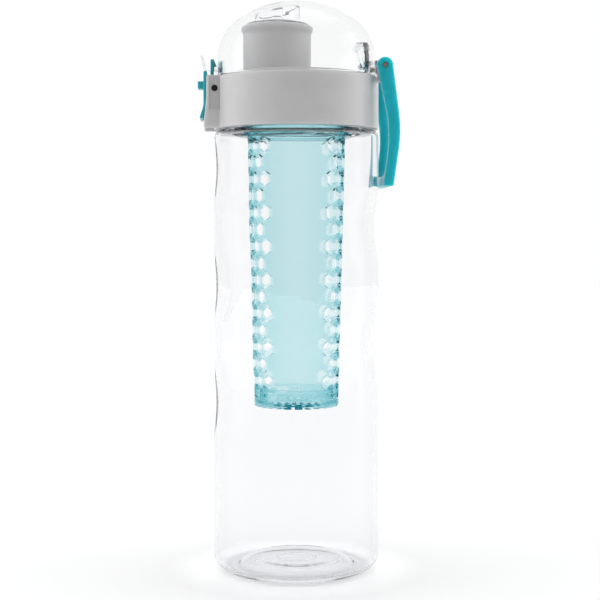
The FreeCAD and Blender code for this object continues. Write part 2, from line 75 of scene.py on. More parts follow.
def roundedLine(corners, closed=False):
    # corners are (x, z) or (x, z, radius); a radius turns the corner into an arc
    line = []
    count = len(corners)
    for index, corner in enumerate(corners):
        here = Vector(corner[:2])
        atEnd = not closed and index in (0, count - 1)
        if len(corner) < 3 or atEnd:
            line.append(here)
            continue
        back = (Vector(corners[index - 1][:2]) - here).normalized()
        ahead = (Vector(corners[(index + 1) % count][:2]) - here).normalized()
        half = back.angle(ahead) / 2
        radius = corner[2]
        centre = here + (back + ahead).normalized() * (radius / math.sin(half))
        first = here + back * (radius / math.tan(half)) - centre
        last = here + ahead * (radius / math.tan(half)) - centre
        turn = math.pi - 2 * half
        steps = max(2, math.ceil(turn / arcStep), math.ceil(turn * radius / arcLength))
        for step in range(steps + 1):
            line.append(centre + first.normalized().slerp(last.normalized(), step / steps) * radius)
    return line


def arcLine(centre, radius, startTurn, endTurn, steps):
    # points on a circle of the XZ plane, turns in degrees from +X towards +Z
    line = []
    for step in range(steps + 1):
        turn = math.radians(startTurn + (endTurn - startTurn) * step / steps)
        line.append(Vector((centre[0] + radius * math.cos(turn), centre[1] + radius * math.sin(turn))))
    return line


def spunMesh(line, steps, closed=False, rowHeight=None, turn=360.0, azimuth=0.0):
    # turns an XZ outline about the Z axis; long rows are divided first
    bm = bmesh.new()
    verts = [bm.verts.new((x, 0, z)) for x, z in line]
    edges = [bm.edges.new(pair) for pair in zip(verts, verts[1:])]
    if closed:
        edges.append(bm.edges.new((verts[-1], verts[0])))
    if rowHeight:
        for edge in edges:
            cuts = math.ceil(edge.calc_length() / rowHeight) - 1
            if cuts > 0:
                bmesh.ops.subdivide_edges(bm, edges=[edge], cuts=cuts)
    whole = turn >= 360.0
    bmesh.ops.rotate(
        bm, verts=bm.verts, cent=(0, 0, 0), matrix=Matrix.Rotation(math.radians(azimuth), 3, "Z")
    )
    bmesh.ops.spin(
        bm,
        geom=bm.verts[:] + bm.edges[:],
        cent=(0, 0, 0),
        axis=(0, 0, 1),
        angle=math.radians(turn),
        steps=steps,
        use_merge=whole,
    )
    bmesh.ops.remove_doubles(bm, verts=bm.verts, dist=mergeReach)
    if not whole:
        openEdges = [edge for edge in bm.edges if edge.is_boundary]
        bmesh.ops.holes_fill(bm, edges=openEdges, sides=0)
    bmesh.ops.recalc_face_normals(bm, faces=bm.faces)
    return bm


def slabMesh(line, yStart, yEnd, bevel=0.0, segments=3, minTurn=25.0):
    # a plate with an XZ outline, from yStart to yEnd, with its edges eased
    bm = bmesh.new()
    face = bm.faces.new([bm.verts.new((x, yStart, z)) for x, z in line])
    grown = bmesh.ops.extrude_face_region(bm, geom=[face])
    moved = [item for item in grown["geom"] if isinstance(item, bmesh.types.BMVert)]
    bmesh.ops.translate(bm, verts=moved, vec=(0, yEnd - yStart, 0))
    bmesh.ops.recalc_face_normals(bm, faces=bm.faces)
    if bevel:
        easeEdges(bm, bevel, segments, minTurn)
    return bm


def easeEdges(bm, width, segments=3, minTurn=25.0):
    sharp = [
        edge for edge in bm.edges
        if edge.is_manifold and edge.calc_face_angle() > math.radians(minTurn)
    ]
    bmesh.ops.bevel(
        bm,
        geom=sharp,
        offset=width,
        affect="EDGES",
        segments=segments,
        profile=0.5,
        material=-1,
        clamp_overlap=True,
    )


def moveMesh(bm, x=0.0, y=0.0, z=0.0):
    bmesh.ops.translate(bm, verts=bm.verts, vec=(x, y, z))
    return bm


def turnMesh(bm, degrees, axis="Z"):
    bmesh.ops.rotate(
        bm, verts=bm.verts, cent=(0, 0, 0), matrix=Matrix.Rotation(math.radians(degrees), 3, axis)
    )
    return bm


def layAlongY(bm):
    # a mesh turned about Z becomes one that lies along Y
    return turnMesh(bm, 90, "X")


def boxMesh(low, high):
    bm = bmesh.new()
    bmesh.ops.create_cube(bm, size=1.0)
    size = Vector(high) - Vector(low)
    bmesh.ops.scale(bm, verts=bm.verts, vec=size)
    bmesh.ops.translate(bm, verts=bm.verts, vec=(Vector(high) + Vector(low)) / 2)
    return bm


def addMesh(bm, *others):
    for other in others:
        mesh = bpy.data.meshes.new("carry")
        other.to_mesh(mesh)
        other.free()
        bm.from_mesh(mesh)
        bpy.data.meshes.remove(mesh)
    return bm


def tempObject(bm, name):
    mesh = bpy.data.meshes.new(name)
    bm.to_mesh(mesh)
    bm.free()
    thing = bpy.data.objects.new(name, mesh)
    scene.collection.objects.link(thing)
    return thing


def carved(bm, *steps):
    # steps are ("UNION", "DIFFERENCE" or "INTERSECT", mesh), worked in turn
    target = tempObject(bm, "carveTarget")
    helpers = [target]
    for operation, tool in steps:
        helper = tempObject(tool, "carveTool")
        helpers.append(helper)
        modifier = target.modifiers.new("carve", "BOOLEAN")
        modifier.operation = operation
        modifier.solver = "EXACT"
        modifier.object = helper
    graph = bpy.context.evaluated_depsgraph_get()
    mesh = bpy.data.meshes.new_from_object(target.evaluated_get(graph))
    result = bmesh.new()
    result.from_mesh(mesh)
    bpy.data.meshes.remove(mesh)
    for helper in helpers:
        data = helper.data
        bpy.data.objects.remove(helper)
        bpy.data.meshes.remove(data)
    bmesh.ops.remove_doubles(result, verts=result.verts, dist=mergeReach)
    bmesh.ops.dissolve_degenerate(result, edges=result.edges, dist=mergeReach)
    return result


def finishPiece(name, bm, material, body, node, sharpTurn=32.0):
    bmesh.ops.scale(bm, verts=bm.verts, vec=(mm, mm, mm))
    for face in bm.faces:
        face.smooth = True
    for edge in bm.edges:
        edge.smooth = edge.is_manifold and edge.calc_face_angle() < math.radians(sharpTurn)
    mesh = bpy.data.meshes.new(name)
    bm.to_mesh(mesh)
    bm.free()
    mesh.materials.append(material)
    piece = bpy.data.objects.new(name, mesh)
    scene.collection.objects.link(piece)
    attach(piece, body)
    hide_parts(node)
    mesh.calc_loop_triangles()
    print("  piece", name, "triangles", len(mesh.loop_triangles))
    return piece


# Materials

noiseSpan = (0.3, 0.7)  # where most of a noise's values lie
waveDetail = 1.0
cloudDetail = 3.0
grainDetail = 4.0


def newMaterial(name):
    material = bpy.data.materials.new(name)
    material.use_nodes = True
    tree = material.node_tree
    return material, tree, tree.nodes["Principled BSDF"]


def noiseNode(tree, scale, detail, stretch=None):
    # a noise on Object coordinates; scale is in waves per metre
    coordinates = tree.nodes.new("ShaderNodeTexCoord")
    noise = tree.nodes.new("ShaderNodeTexNoise")
    noise.inputs["Scale"].default_value = scale
    noise.inputs["Detail"].default_value = detail
    source = coordinates.outputs["Object"]
    if stretch:
        mapping = tree.nodes.new("ShaderNodeMapping")
        mapping.inputs["Scale"].default_value = stretch
        tree.links.new(source, mapping.inputs["Vector"])
        source = mapping.outputs["Vector"]
    tree.links.new(source, noise.inputs["Vector"])
    return noise


def spreadNode(tree, noise, low, high):
    spread = tree.nodes.new("ShaderNodeMapRange")
    spread.inputs["From Min"].default_value = noiseSpan[0]
    spread.inputs["From Max"].default_value = noiseSpan[1]
    spread.inputs["To Min"].default_value = low
    spread.inputs["To Max"].default_value = high
    tree.links.new(noise.outputs["Fac"], spread.inputs["Value"])
    return spread


def spreadColour(tree, noise, look):
    ramp = tree.nodes.new("ShaderNodeValToRGB")
    for index, end in enumerate(("colourLow", "colourHigh")):
        step = ramp.color_ramp.elements[index]
        step.position = noiseSpan[index]
        step.color = (*look[end], 1)
    tree.links.new(noise.outputs["Fac"], ramp.inputs["Fac"])
    return ramp.outputs["Color"]


def mathNode(tree, operation, *values):
    # values are sockets or plain numbers
    node = tree.nodes.new("ShaderNodeMath")
    node.operation = operation
    for index, value in enumerate(values):
        if isinstance(value, float):
            node.inputs[index].default_value = value
        else:
            tree.links.new(value, node.inputs[index])
    return node.outputs["Value"]


def bumpNode(tree, noise, strength, distance):
    bump = tree.nodes.new("ShaderNodeBump")
    bump.inputs["Strength"].default_value = strength
    bump.inputs["Distance"].default_value = distance
    tree.links.new(noise.outputs["Fac"], bump.inputs["Height"])
    return bump


def clearPlastic(look):
    # see-through plastic: faint moulding waves, a trace of tint that grows with thickness
    material, tree, shader = newMaterial(look["name"])
    shader.inputs["Base Color"].default_value = (*look["colour"], 1)
    shader.inputs["Transmission Weight"].default_value = look["clear"]
    shader.inputs["IOR"].default_value = look["ior"]
    waves = noiseNode(tree, look["waveScale"], waveDetail, look["waveStretch"])
    haze = spreadNode(tree, waves, look["roughLow"], look["roughHigh"])
    tree.links.new(haze.outputs["Result"], shader.inputs["Roughness"])
    bump = bumpNode(tree, waves, look["waveStrength"], look["waveDepth"])
    tree.links.new(bump.outputs["Normal"], shader.inputs["Normal"])
    absorb = tree.nodes.new("ShaderNodeVolumeAbsorption")
    absorb.inputs["Color"].default_value = (*look["tint"], 1)
    absorb.inputs["Density"].default_value = look["density"]
    tree.links.new(absorb.outputs["Volume"], tree.nodes["Material Output"].inputs["Volume"])
    return material


def mouldedPlastic(look):
    # opaque moulded plastic: fine grain, slightly uneven colour and gloss
    material, tree, shader = newMaterial(look["name"])
    shader.inputs["IOR"].default_value = look["ior"]
    shader.inputs["Specular IOR Level"].default_value = look["specular"]
    shader.inputs["Subsurface Weight"].default_value = look["subsurface"]
    shader.inputs["Subsurface Radius"].default_value = look["subsurfaceRadius"]
    shader.inputs["Subsurface Scale"].default_value = look["subsurfaceScale"]
    clouds = noiseNode(tree, look["cloudScale"], cloudDetail)
    tree.links.new(spreadColour(tree, clouds, look), shader.inputs["Base Color"])
    gloss = spreadNode(tree, clouds, look["roughLow"], look["roughHigh"])
    tree.links.new(gloss.outputs["Result"], shader.inputs["Roughness"])
    grain = noiseNode(tree, look["grainScale"], grainDetail)
    bump = bumpNode(tree, grain, look["grainStrength"], look["grainDepth"])
    tree.links.new(bump.outputs["Normal"], shader.inputs["Normal"])
    return material


def paintRecessShade(material, look):
    # painted shade: the base colour is multiplied darker on the sunk panels at both sides of the latch block,
    # standing in for the shade that falls in these recesses
    tree = material.node_tree
    shader = tree.nodes["Principled BSDF"]
    plain = shader.inputs["Base Color"].links[0].from_socket
    coordinates = tree.nodes.new("ShaderNodeTexCoord")
    split = tree.nodes.new("ShaderNodeSeparateXYZ")
    tree.links.new(coordinates.outputs["Object"], split.inputs["Vector"])
    away = mathNode(tree, "ABSOLUTE", split.outputs["Y"])
    sunk = mathNode(tree, "COMPARE", away, look["panelSide"] * mm, look["panelBand"] * mm)
    outside = mathNode(tree, "LESS_THAN", split.outputs["X"], look["panelEnd"] * mm)
    both = mathNode(tree, "MULTIPLY", sunk, outside)
    # multiply by the painted shade colour inside the recess mask
    darker = tree.nodes.new("ShaderNodeMix")
    darker.data_type = "RGBA"
    darker.blend_type = "MULTIPLY"
    colours = [socket for socket in darker.inputs if socket.type == "RGBA"]
    colours[1].default_value = (*look["paintedRecessShade"], 1)
    tree.links.new(both, darker.inputs["Factor"])
    tree.links.new(plain, colours[0])
    shaded = [socket for socket in darker.outputs if socket.type == "RGBA"][0]
    tree.links.new(shaded, shader.inputs["Base Color"])


def drawnSteel(look):
    # metal with streaks along Y, as drawn wire has
    material, tree, shader = newMaterial(look["name"])
    shader.inputs["Metallic"].default_value = 1.0
    streaks = noiseNode(tree, look["streakScale"], cloudDetail, look["streakStretch"])
    tree.links.new(spreadColour(tree, streaks, look), shader.inputs["Base Color"])
    gloss = spreadNode(tree, streaks, look["roughLow"], look["roughHigh"])
    tree.links.new(gloss.outputs["Result"], shader.inputs["Roughness"])
    bump = bumpNode(tree, streaks, look["streakStrength"], look["streakDepth"])
    tree.links.new(bump.outputs["Normal"], shader.inputs["Normal"])
    return material


bottleLook = {
    "name": "clearBottle", "ior": 1.16, "colour": (0.974, 0.976, 0.982), "clear": 1.0,
    "tint": (0.75, 0.78, 0.79), "density": 34.0,
    "waveScale": 26.0, "waveStretch": (1, 1, 0.6), "waveStrength": 0.06, "waveDepth": 0.0006,
    "roughLow": 0.0, "roughHigh": 0.02,
}
domeLook = {
    "name": "clearDome", "ior": 1.18, "colour": (1, 1, 1), "clear": 1.0,
    "tint": (0.72, 0.75, 0.77), "density": 44.0,
    "waveScale": 40.0, "waveStretch": (1, 1, 1), "waveStrength": 0.12, "waveDepth": 0.0008,
    "roughLow": 0.0, "roughHigh": 0.02,
}
infuserLook = {
    "name": "tealTint", "ior": 1.07, "colour": (1, 1, 1), "clear": 1.0,
    "tint": (0.20, 0.71, 0.76), "density": 168.0,
    "waveScale": 60.0, "waveStretch": (1, 1, 0.4), "waveStrength": 0.04, "waveDepth": 0.0004,
    "roughLow": 0.01, "roughHigh": 0.05,
}
sealLook = {
    "name": "softSeal", "ior": 1.25, "colour": (0.9, 0.91, 0.92), "clear": 0.8,
    "tint": (0.80, 0.84, 0.86), "density": 60.0,
    "waveScale": 400.0, "waveStretch": (1, 1, 1), "waveStrength": 0.2, "waveDepth": 0.0002,
    "roughLow": 0.06, "roughHigh": 0.14,
}
collarLook = {
    "name": "greyCollar", "ior": 1.5, "specular": 0.45, "subsurface": 0.6,
    "subsurfaceRadius": (1, 1, 1), "subsurfaceScale": 0.004,
    "colourLow": (0.56, 0.555, 0.56), "colourHigh": (0.59, 0.585, 0.59), "cloudScale": 90.0,
    "roughLow": 0.34, "roughHigh": 0.42,
    "grainScale": 5200.0, "grainStrength": 0.10, "grainDepth": 0.00004,
    # the panel keys place the painted recess shade and give the colour it is multiplied by
    "panelSide": 12.0, "panelBand": 0.1, "panelEnd": -33.4, "paintedRecessShade": (0.92, 0.92, 0.92),
}
# painted shade: the spout is the collar's grey made darker, standing in for the shade it sits in under the
# clear dome
shadedSpoutLook = dict(collarLook, name="greySpoutInShade", colourLow=(0.52, 0.515, 0.52), colourHigh=(0.55, 0.545, 0.55))
handleLook = {
    "name": "tealHandle", "ior": 1.5, "specular": 0.3, "subsurface": 1.0,
    "subsurfaceRadius": (0.2, 1.0, 1.0), "subsurfaceScale": 0.008,
    "colourLow": (0.0, 0.40, 0.47), "colourHigh": (0.0, 0.44, 0.51), "cloudScale": 120.0,
    "roughLow": 0.20, "roughHigh": 0.28,
    "grainScale": 3800.0, "grainStrength": 0.06, "grainDepth": 0.00003,
}
latchLook = dict(handleLook, name="tealLatch", subsurface=0.3, subsurfaceScale=0.002,
                 colourLow=(0.03, 0.38, 0.43), colourHigh=(0.03, 0.42, 0.47))
hingePinLook = {
    "name": "brownSteel", "colourLow": (0.16, 0.13, 0.11), "colourHigh": (0.24, 0.20, 0.17),
    "streakScale": 900.0, "streakStretch": (1, 0.05, 1), "streakStrength": 0.2, "streakDepth": 0.00002,
    "roughLow": 0.28, "roughHigh": 0.42,
}
latchPinLook = dict(hingePinLook, name="blackSteel", colourLow=(0.018, 0.018, 0.02),
                    colourHigh=(0.03, 0.03, 0.032))
springLook = dict(hingePinLook, name="springSteel", colourLow=(0.5, 0.5, 0.5), colourHigh=(0.62, 0.62, 0.62))

clearBottle = clearPlastic(bottleLook)
clearDome = clearPlastic(domeLook)
tealTint = clearPlastic(infuserLook)
softSeal = clearPlastic(sealLook)
greyCollar = mouldedPlastic(collarLook)
paintRecessShade(greyCollar, collarLook)
greySpoutInShade = mouldedPlastic(shadedSpoutLook)
tealHandle = mouldedPlastic(handleLook)
tealLatch = mouldedPlastic(latchLook)
brownSteel = drawnSteel(hingePinLook)
blackSteel = drawnSteel(latchPinLook)
springSteel = drawnSteel(springLook)
print("materials made")


# Bottle body

bodyHigh = boxOf("bottle_body")[1]
collarLow, collarHigh = boxOf("lid_collar")
bottle = {
    "radius": bodyHigh.y, "height": collarLow.z - seatGap, "wall": 2.0, "neckTop": bodyHigh.z,
    "baseRound": 7.5, "baseSteps": 14, "innerSteps": 12,
    "shoulderRound": 3.0, "shoulderSteps": 8, "shoulderWall": 1.8, "innerRound": 1.2,
    "footWidth": 3.0, "footRound": 4.0, "puntHeight": 3.5, "puntSlope": 4.5, "puntRound": 10.0,
    "gateRing": 8.5, "gateWidth": 1.0, "gateHeight": 0.6, "gateRound": 0.25,
    "neckInset": 5.7, "neckWall": 2.0, "neckRound": 0.8, "boreRound": 0.5, "lipRound": 0.7,
    "dentRows": 5, "dentPitch": 25.3, "topDent": 174.5, "dentsPerRow": 3, "dentDepth": 2.8,
    "dentHeight": 25.0, "dentAzimuth": 15.0, "dentSoft": 3.0, "dentFacing": 0.7,
    "threadPitch": 4.2, "threadTurns": 1.6, "threadHeight": 1.0, "threadWidth": 2.2, "threadStart": 197.5,
    "threadFade": 8.0, "steps": 180, "rowHeight": 1.2,
}


def dentPlaces():
    places = []
    for row in range(bottle["dentRows"]):
        stagger = 180.0 / bottle["dentsPerRow"] * (row % 2)
        for index in range(bottle["dentsPerRow"]):
            azimuth = bottle["dentAzimuth"] + stagger + 360.0 / bottle["dentsPerRow"] * index + frontAzimuth
            places.append((math.radians(azimuth), bottle["topDent"] - row * bottle["dentPitch"]))
    return places


def softLeast(first, second, width):
    share = min(1.0, max(0.0, 0.5 + 0.5 * (second - first) / width))
    return second + (first - second) * share - width * share * (1.0 - share)


def wallVerts(bm, wallRadius):
    return [vert for vert in bm.verts if abs(vert.co.xy.length - wallRadius) < wallReach]


def pressDents(verts, grown):
    # each dent is the trace of a rod that lies across the wall
    half = bottle["dentHeight"] / 2
    rodRadius = (half**2 + bottle["dentDepth"] ** 2) / (2 * bottle["dentDepth"])
    reach = bottle["radius"] - bottle["dentDepth"] + rodRadius
    places = dentPlaces()
    for vert in verts:
        radius = vert.co.xy.length
        azimuth = math.atan2(vert.co.y, vert.co.x)
        pressed = radius
        for dentAzimuth, dentZ in places:
            away = math.cos(azimuth - dentAzimuth)
            rise = abs(vert.co.z - dentZ)
            if away < bottle["dentFacing"] or rise > rodRadius:
                continue
            flat = (reach - math.sqrt((rodRadius + grown) ** 2 - rise**2)) / away
            pressed = softLeast(pressed, flat, bottle["dentSoft"])
        vert.co.x *= pressed / radius
        vert.co.y *= pressed / radius


def raiseThread(bm, neckRadius):
    # one ridge that climbs round the neck and fades at both ends
    for vert in wallVerts(bm, neckRadius):
        radius = vert.co.xy.length
        turnShare = (math.atan2(vert.co.y, vert.co.x) / (2 * math.pi)) % 1.0
        climb = (vert.co.z - bottle["threadStart"]) / bottle["threadPitch"]
        turns = round(climb - turnShare) + turnShare
        if not 0 <= turns <= bottle["threadTurns"]:
            continue
        off = abs(climb - turns) * bottle["threadPitch"] / (bottle["threadWidth"] / 2)
        fade = min(1.0, bottle["threadFade"] * min(turns, bottle["threadTurns"] - turns))
        ridge = bottle["threadHeight"] * fade * max(0.0, 1.0 - off**2)
        vert.co.x *= (radius + ridge) / radius
        vert.co.y *= (radius + ridge) / radius


def makeBottle():
    radius, height, wall = bottle["radius"], bottle["height"], bottle["wall"]
    baseRound, shoulder = bottle["baseRound"], bottle["shoulderRound"]
    corner = radius - baseRound
    footInner = corner - bottle["footWidth"]
    punt = bottle["puntHeight"]
    puntRadius = footInner - bottle["puntSlope"]
    neckRadius = radius - bottle["neckInset"]
    bore = neckRadius - bottle["neckWall"]
    inner = radius - wall
    under = height - bottle["shoulderWall"]
    ring, gate = bottle["gateRing"], bottle["gateRound"]
    ringIn = ring - bottle["gateWidth"]
    ringLow = punt - bottle["gateHeight"]
    line = roundedLine([
        (0, punt),
        (ringIn, punt, gate), (ringIn, ringLow, gate), (ring, ringLow, gate), (ring, punt, gate),
        (puntRadius, punt, bottle["puntRound"]), (footInner, 0, bottle["footRound"]), (corner, 0),
    ])
    line += arcLine((corner, baseRound), baseRound, -90, 0, bottle["baseSteps"])[1:]
    line += arcLine((radius - shoulder, height - shoulder), shoulder, 0, 90, bottle["shoulderSteps"])
    line += roundedLine([
        (radius - shoulder, height), (neckRadius, height, bottle["neckRound"]),
        (neckRadius, bottle["neckTop"], bottle["lipRound"]), (bore, bottle["neckTop"], bottle["lipRound"]),
        (bore, under, bottle["boreRound"]), (inner, under, bottle["innerRound"]), (inner, baseRound),
    ])[1:]
    line += arcLine((corner, baseRound), baseRound - wall, 0, -90, bottle["innerSteps"])[1:]
    line += roundedLine([
        (corner, wall), (footInner, wall, bottle["footRound"]),
        (puntRadius, punt + wall, bottle["puntRound"]), (0, punt + wall),
    ])[1:]
    bm = spunMesh(line, bottle["steps"], rowHeight=bottle["rowHeight"])
    outerVerts, innerVerts = wallVerts(bm, radius), wallVerts(bm, inner)
    pressDents(outerVerts, 0.0)
    pressDents(innerVerts, wall)
    raiseThread(bm, neckRadius)
    finishPiece("bottleShell", bm, clearBottle, "bottle", "bottle_body", sharpTurn=50.0)


makeBottle()
print("bottle made")


# Infuser basket and its base

basketLow, basketHigh = boxOf("infuser_basket")
baseLow, baseHigh = boxOf("infuser_base")
basket = {
    "flangeRadius": basketHigh.x, "neckTop": basketHigh.z, "bottom": basketLow.z, "bottomRadius": baseHigh.x,
    "neckHeight": 14.5, "neckInset": 2.3, "wall": 2.0, "shellInset": 2.9,
    "flangeRing": 1.2, "groove": 1.0, "grooveDepth": 1.4, "edge": 0.35,
    "hexWeb": 0.62, "hexRows": 8, "hexColumns": 5, "hexTurn": 22.5, "hexTopGap": 0.26, "hexLowGap": 0.76,
    "hexCorner": 1.0, "hexEase": 0.4, "hexInnerEase": 0.2,
    "easeStart": 1.3, "easeMiddle": 0.6, "easeEnd": 1 / 6, "easeDip": 0.02,
    "innerReach": 0.7, "reach": 2.0, "innerRound": 2.0, "steps": 180,
}
base = {
    "ringHeight": 3.0, "plate": 1.8, "clearance": 0.3, "slotCount": 24, "slotWidth": 1.5,
    "spigotWall": 1.5, "slotReach": 5.1,
    "lugCount": 3, "lugWidth": 16.0, "lugHeight": 1.8, "lugLift": 1.1, "lugAzimuth": 60.0,
    "lugTurn": 20.0, "lugSideRoom": 1.0, "entryDrop": 0.01, "sectorStep": 3.0, "steps": 144,
}
hexPitch = 2 * (basket["bottomRadius"] - basket["wall"]) * math.sin(math.radians(basket["hexTurn"] / 2))
hexAcross = hexPitch - basket["hexWeb"]
flangeTop = basket["neckTop"] - basket["neckHeight"]
flangeLow = flangeTop - 2 * basket["flangeRing"] - basket["groove"]
lugLow = basket["bottom"] + base["lugLift"]
lugHigh = lugLow + base["lugHeight"]


def basketRadius(z):
    low = basket["bottom"]
    topRadius = basket["flangeRadius"] - basket["shellInset"]
    return basket["bottomRadius"] + (topRadius - basket["bottomRadius"]) * (z - low) / (flangeLow - low)


def hexTool(z):
    # a rounded hexagon along +X that widens a little at both faces of the wall
    outer = basketRadius(z)
    inner = outer - basket["wall"]
    ease, innerEase = basket["hexEase"], basket["hexInnerEase"]
    across = hexAcross / 2
    wideIn = (across + innerEase) / across
    wideOut = (across + ease) / across
    stations = [
        (inner - basket["innerReach"], wideIn), (inner - innerEase / 2, wideIn), (inner + innerEase / 2, 1.0),
        (outer - ease * basket["easeStart"], 1.0),
        (outer - ease * basket["easeMiddle"], (1 + wideOut) / 2 - basket["easeDip"]),
        (outer - ease * basket["easeEnd"], wideOut), (outer + basket["reach"], wideOut),
    ]
    corner = hexAcross / math.sqrt(3)
    outline = []
    for index in range(6):
        turn = math.radians(60 * index + 30)
        outline.append((corner * math.cos(turn), corner * math.sin(turn), basket["hexCorner"]))
    x, size = stations[0]
    bm = bmesh.new()
    ring = roundedLine(outline, closed=True)
    face = bm.faces.new([bm.verts.new((x, y * size, up * size)) for y, up in ring])
    for nextX, nextSize in stations[1:]:
        grown = bmesh.ops.extrude_face_region(bm, geom=[face])["geom"]
        if len(bm.faces) > len(face.verts) + 2:
            bmesh.ops.delete(bm, geom=[face], context="FACES_ONLY")
        verts = [item for item in grown if isinstance(item, bmesh.types.BMVert)]
        face = [item for item in grown if isinstance(item, bmesh.types.BMFace)][0]
        bmesh.ops.translate(bm, verts=verts, vec=(nextX - x, 0, 0))
        bmesh.ops.scale(bm, verts=verts, vec=(1, nextSize / size, nextSize / size))
        x, size = nextX, nextSize
    bmesh.ops.recalc_face_normals(bm, faces=bm.faces)
    return moveMesh(bm, z=z)


def honeycombTools():
    cell = hexPitch / math.sqrt(3)
    top = flangeLow - cell - basket["hexTopGap"]
    bottom = lugHigh + base["clearance"] + cell + basket["hexLowGap"]
    rows = 2 * basket["hexRows"] - 1
    tools = bmesh.new()
    for row in range(rows):
        z = top - (top - bottom) * row / (rows - 1)
        count = basket["hexColumns"] - row % 2
        for side in (0.0, 180.0):
            for index in range(count):
                offset = (index - (count - 1) / 2) * basket["hexTurn"]
                addMesh(tools, turnMesh(hexTool(z), side + offset))
    return tools


def sectorMesh(radiusIn, radiusOut, zLow, zHigh, azimuth, width):
    line = [(radiusIn, zLow), (radiusOut, zLow), (radiusOut, zHigh), (radiusIn, zHigh)]
    steps = max(2, round(width / base["sectorStep"]))
    return spunMesh(line, steps, closed=True, turn=width, azimuth=azimuth + frontAzimuth)


def bayonetTools():
    radiusIn = basket["bottomRadius"] - 2 * basket["wall"]
    radiusOut = basket["bottomRadius"] + basket["wall"]
    low = lugLow - base["clearance"]
    high = lugHigh + base["clearance"]
    entryHigh = high - base["entryDrop"]
    side = base["lugWidth"] / 2 + base["lugSideRoom"]
    runs = bmesh.new()
    entries = bmesh.new()
    for index in range(base["lugCount"]):
        middle = base["lugAzimuth"] + 360.0 / base["lugCount"] * index
        width = 2 * side + base["lugTurn"]
        addMesh(runs, sectorMesh(radiusIn, radiusOut, low, high, middle - side, width))
        entryStart = middle - side + base["lugTurn"]
        below = basket["bottom"] - basket["wall"]
        addMesh(entries, sectorMesh(radiusIn, radiusOut, below, entryHigh, entryStart, 2 * side))
    return runs, entries


def makeBasket():
    wall = basket["wall"]
    edge = basket["edge"]
    inner = basket["innerRound"]
    flange = basket["flangeRadius"]
    grooveLow = flangeLow + basket["flangeRing"]
    grooveHigh = grooveLow + basket["groove"]
    grooveRadius = flange - basket["grooveDepth"]
    neck = flange - basket["neckInset"]
    topRadius = basketRadius(flangeLow)
    bottomRadius = basket["bottomRadius"]
    bottom = basket["bottom"]
    line = roundedLine([
        (neck - wall, basket["neckTop"], edge), (neck, basket["neckTop"], edge),
        (neck, flangeTop, edge), (flange, flangeTop, edge),
        (flange, grooveHigh, edge), (grooveRadius, grooveHigh, edge),
        (grooveRadius, grooveLow, edge), (flange, grooveLow, edge),
        (flange, flangeLow, edge), (topRadius, flangeLow, edge),
        (bottomRadius, bottom, edge), (bottomRadius - wall, bottom, edge),
        (topRadius - wall, flangeLow, inner), (neck - wall, flangeTop, inner),
    ], closed=True)
    bm = spunMesh(line, basket["steps"], closed=True)
    runs, entries = bayonetTools()
    bm = carved(
        bm, ("DIFFERENCE", honeycombTools()), ("DIFFERENCE", runs), ("DIFFERENCE", entries)
    )
    finishPiece("infuserBasket", bm, tealTint, "infuser", "infuser_basket")


def makeBase():
    edge = basket["edge"]
    radius = basket["bottomRadius"]
    low = baseLow.z
    ringTop = low + base["ringHeight"]
    plateTop = low + base["plate"]
    top = baseHigh.z
    spigot = radius - basket["wall"] - base["clearance"]
    bore = spigot - base["spigotWall"]
    line = roundedLine([
        (0, low), (radius, low, edge), (radius, ringTop, edge), (spigot, ringTop, edge),
        (spigot, top, edge), (bore, top, edge), (bore, plateTop, edge), (0, plateTop),
    ])
    bm = spunMesh(line, base["steps"])
    lugs = bmesh.new()
    for index in range(base["lugCount"]):
        start = base["lugAzimuth"] + 360.0 / base["lugCount"] * index - base["lugWidth"] / 2
        middle = (bore + spigot) / 2
        addMesh(lugs, sectorMesh(middle, radius, lugLow, lugHigh, start, base["lugWidth"]))
    slots = bmesh.new()
    half = base["slotWidth"] / 2
    for index in range(base["slotCount"]):
        slot = boxMesh((bore - base["slotReach"], -half, low - proud), (radius + proud, half, plateTop))
        addMesh(slots, turnMesh(slot, 360.0 / base["slotCount"] * (index + 0.5)))
    bm = carved(bm, ("UNION", lugs), ("DIFFERENCE", slots))
    finishPiece("infuserBase", bm, tealTint, "infuser_foot", "infuser_base")


makeBasket()
makeBase()
print("infuser made")


# Screw collar, spout, vent and gasket

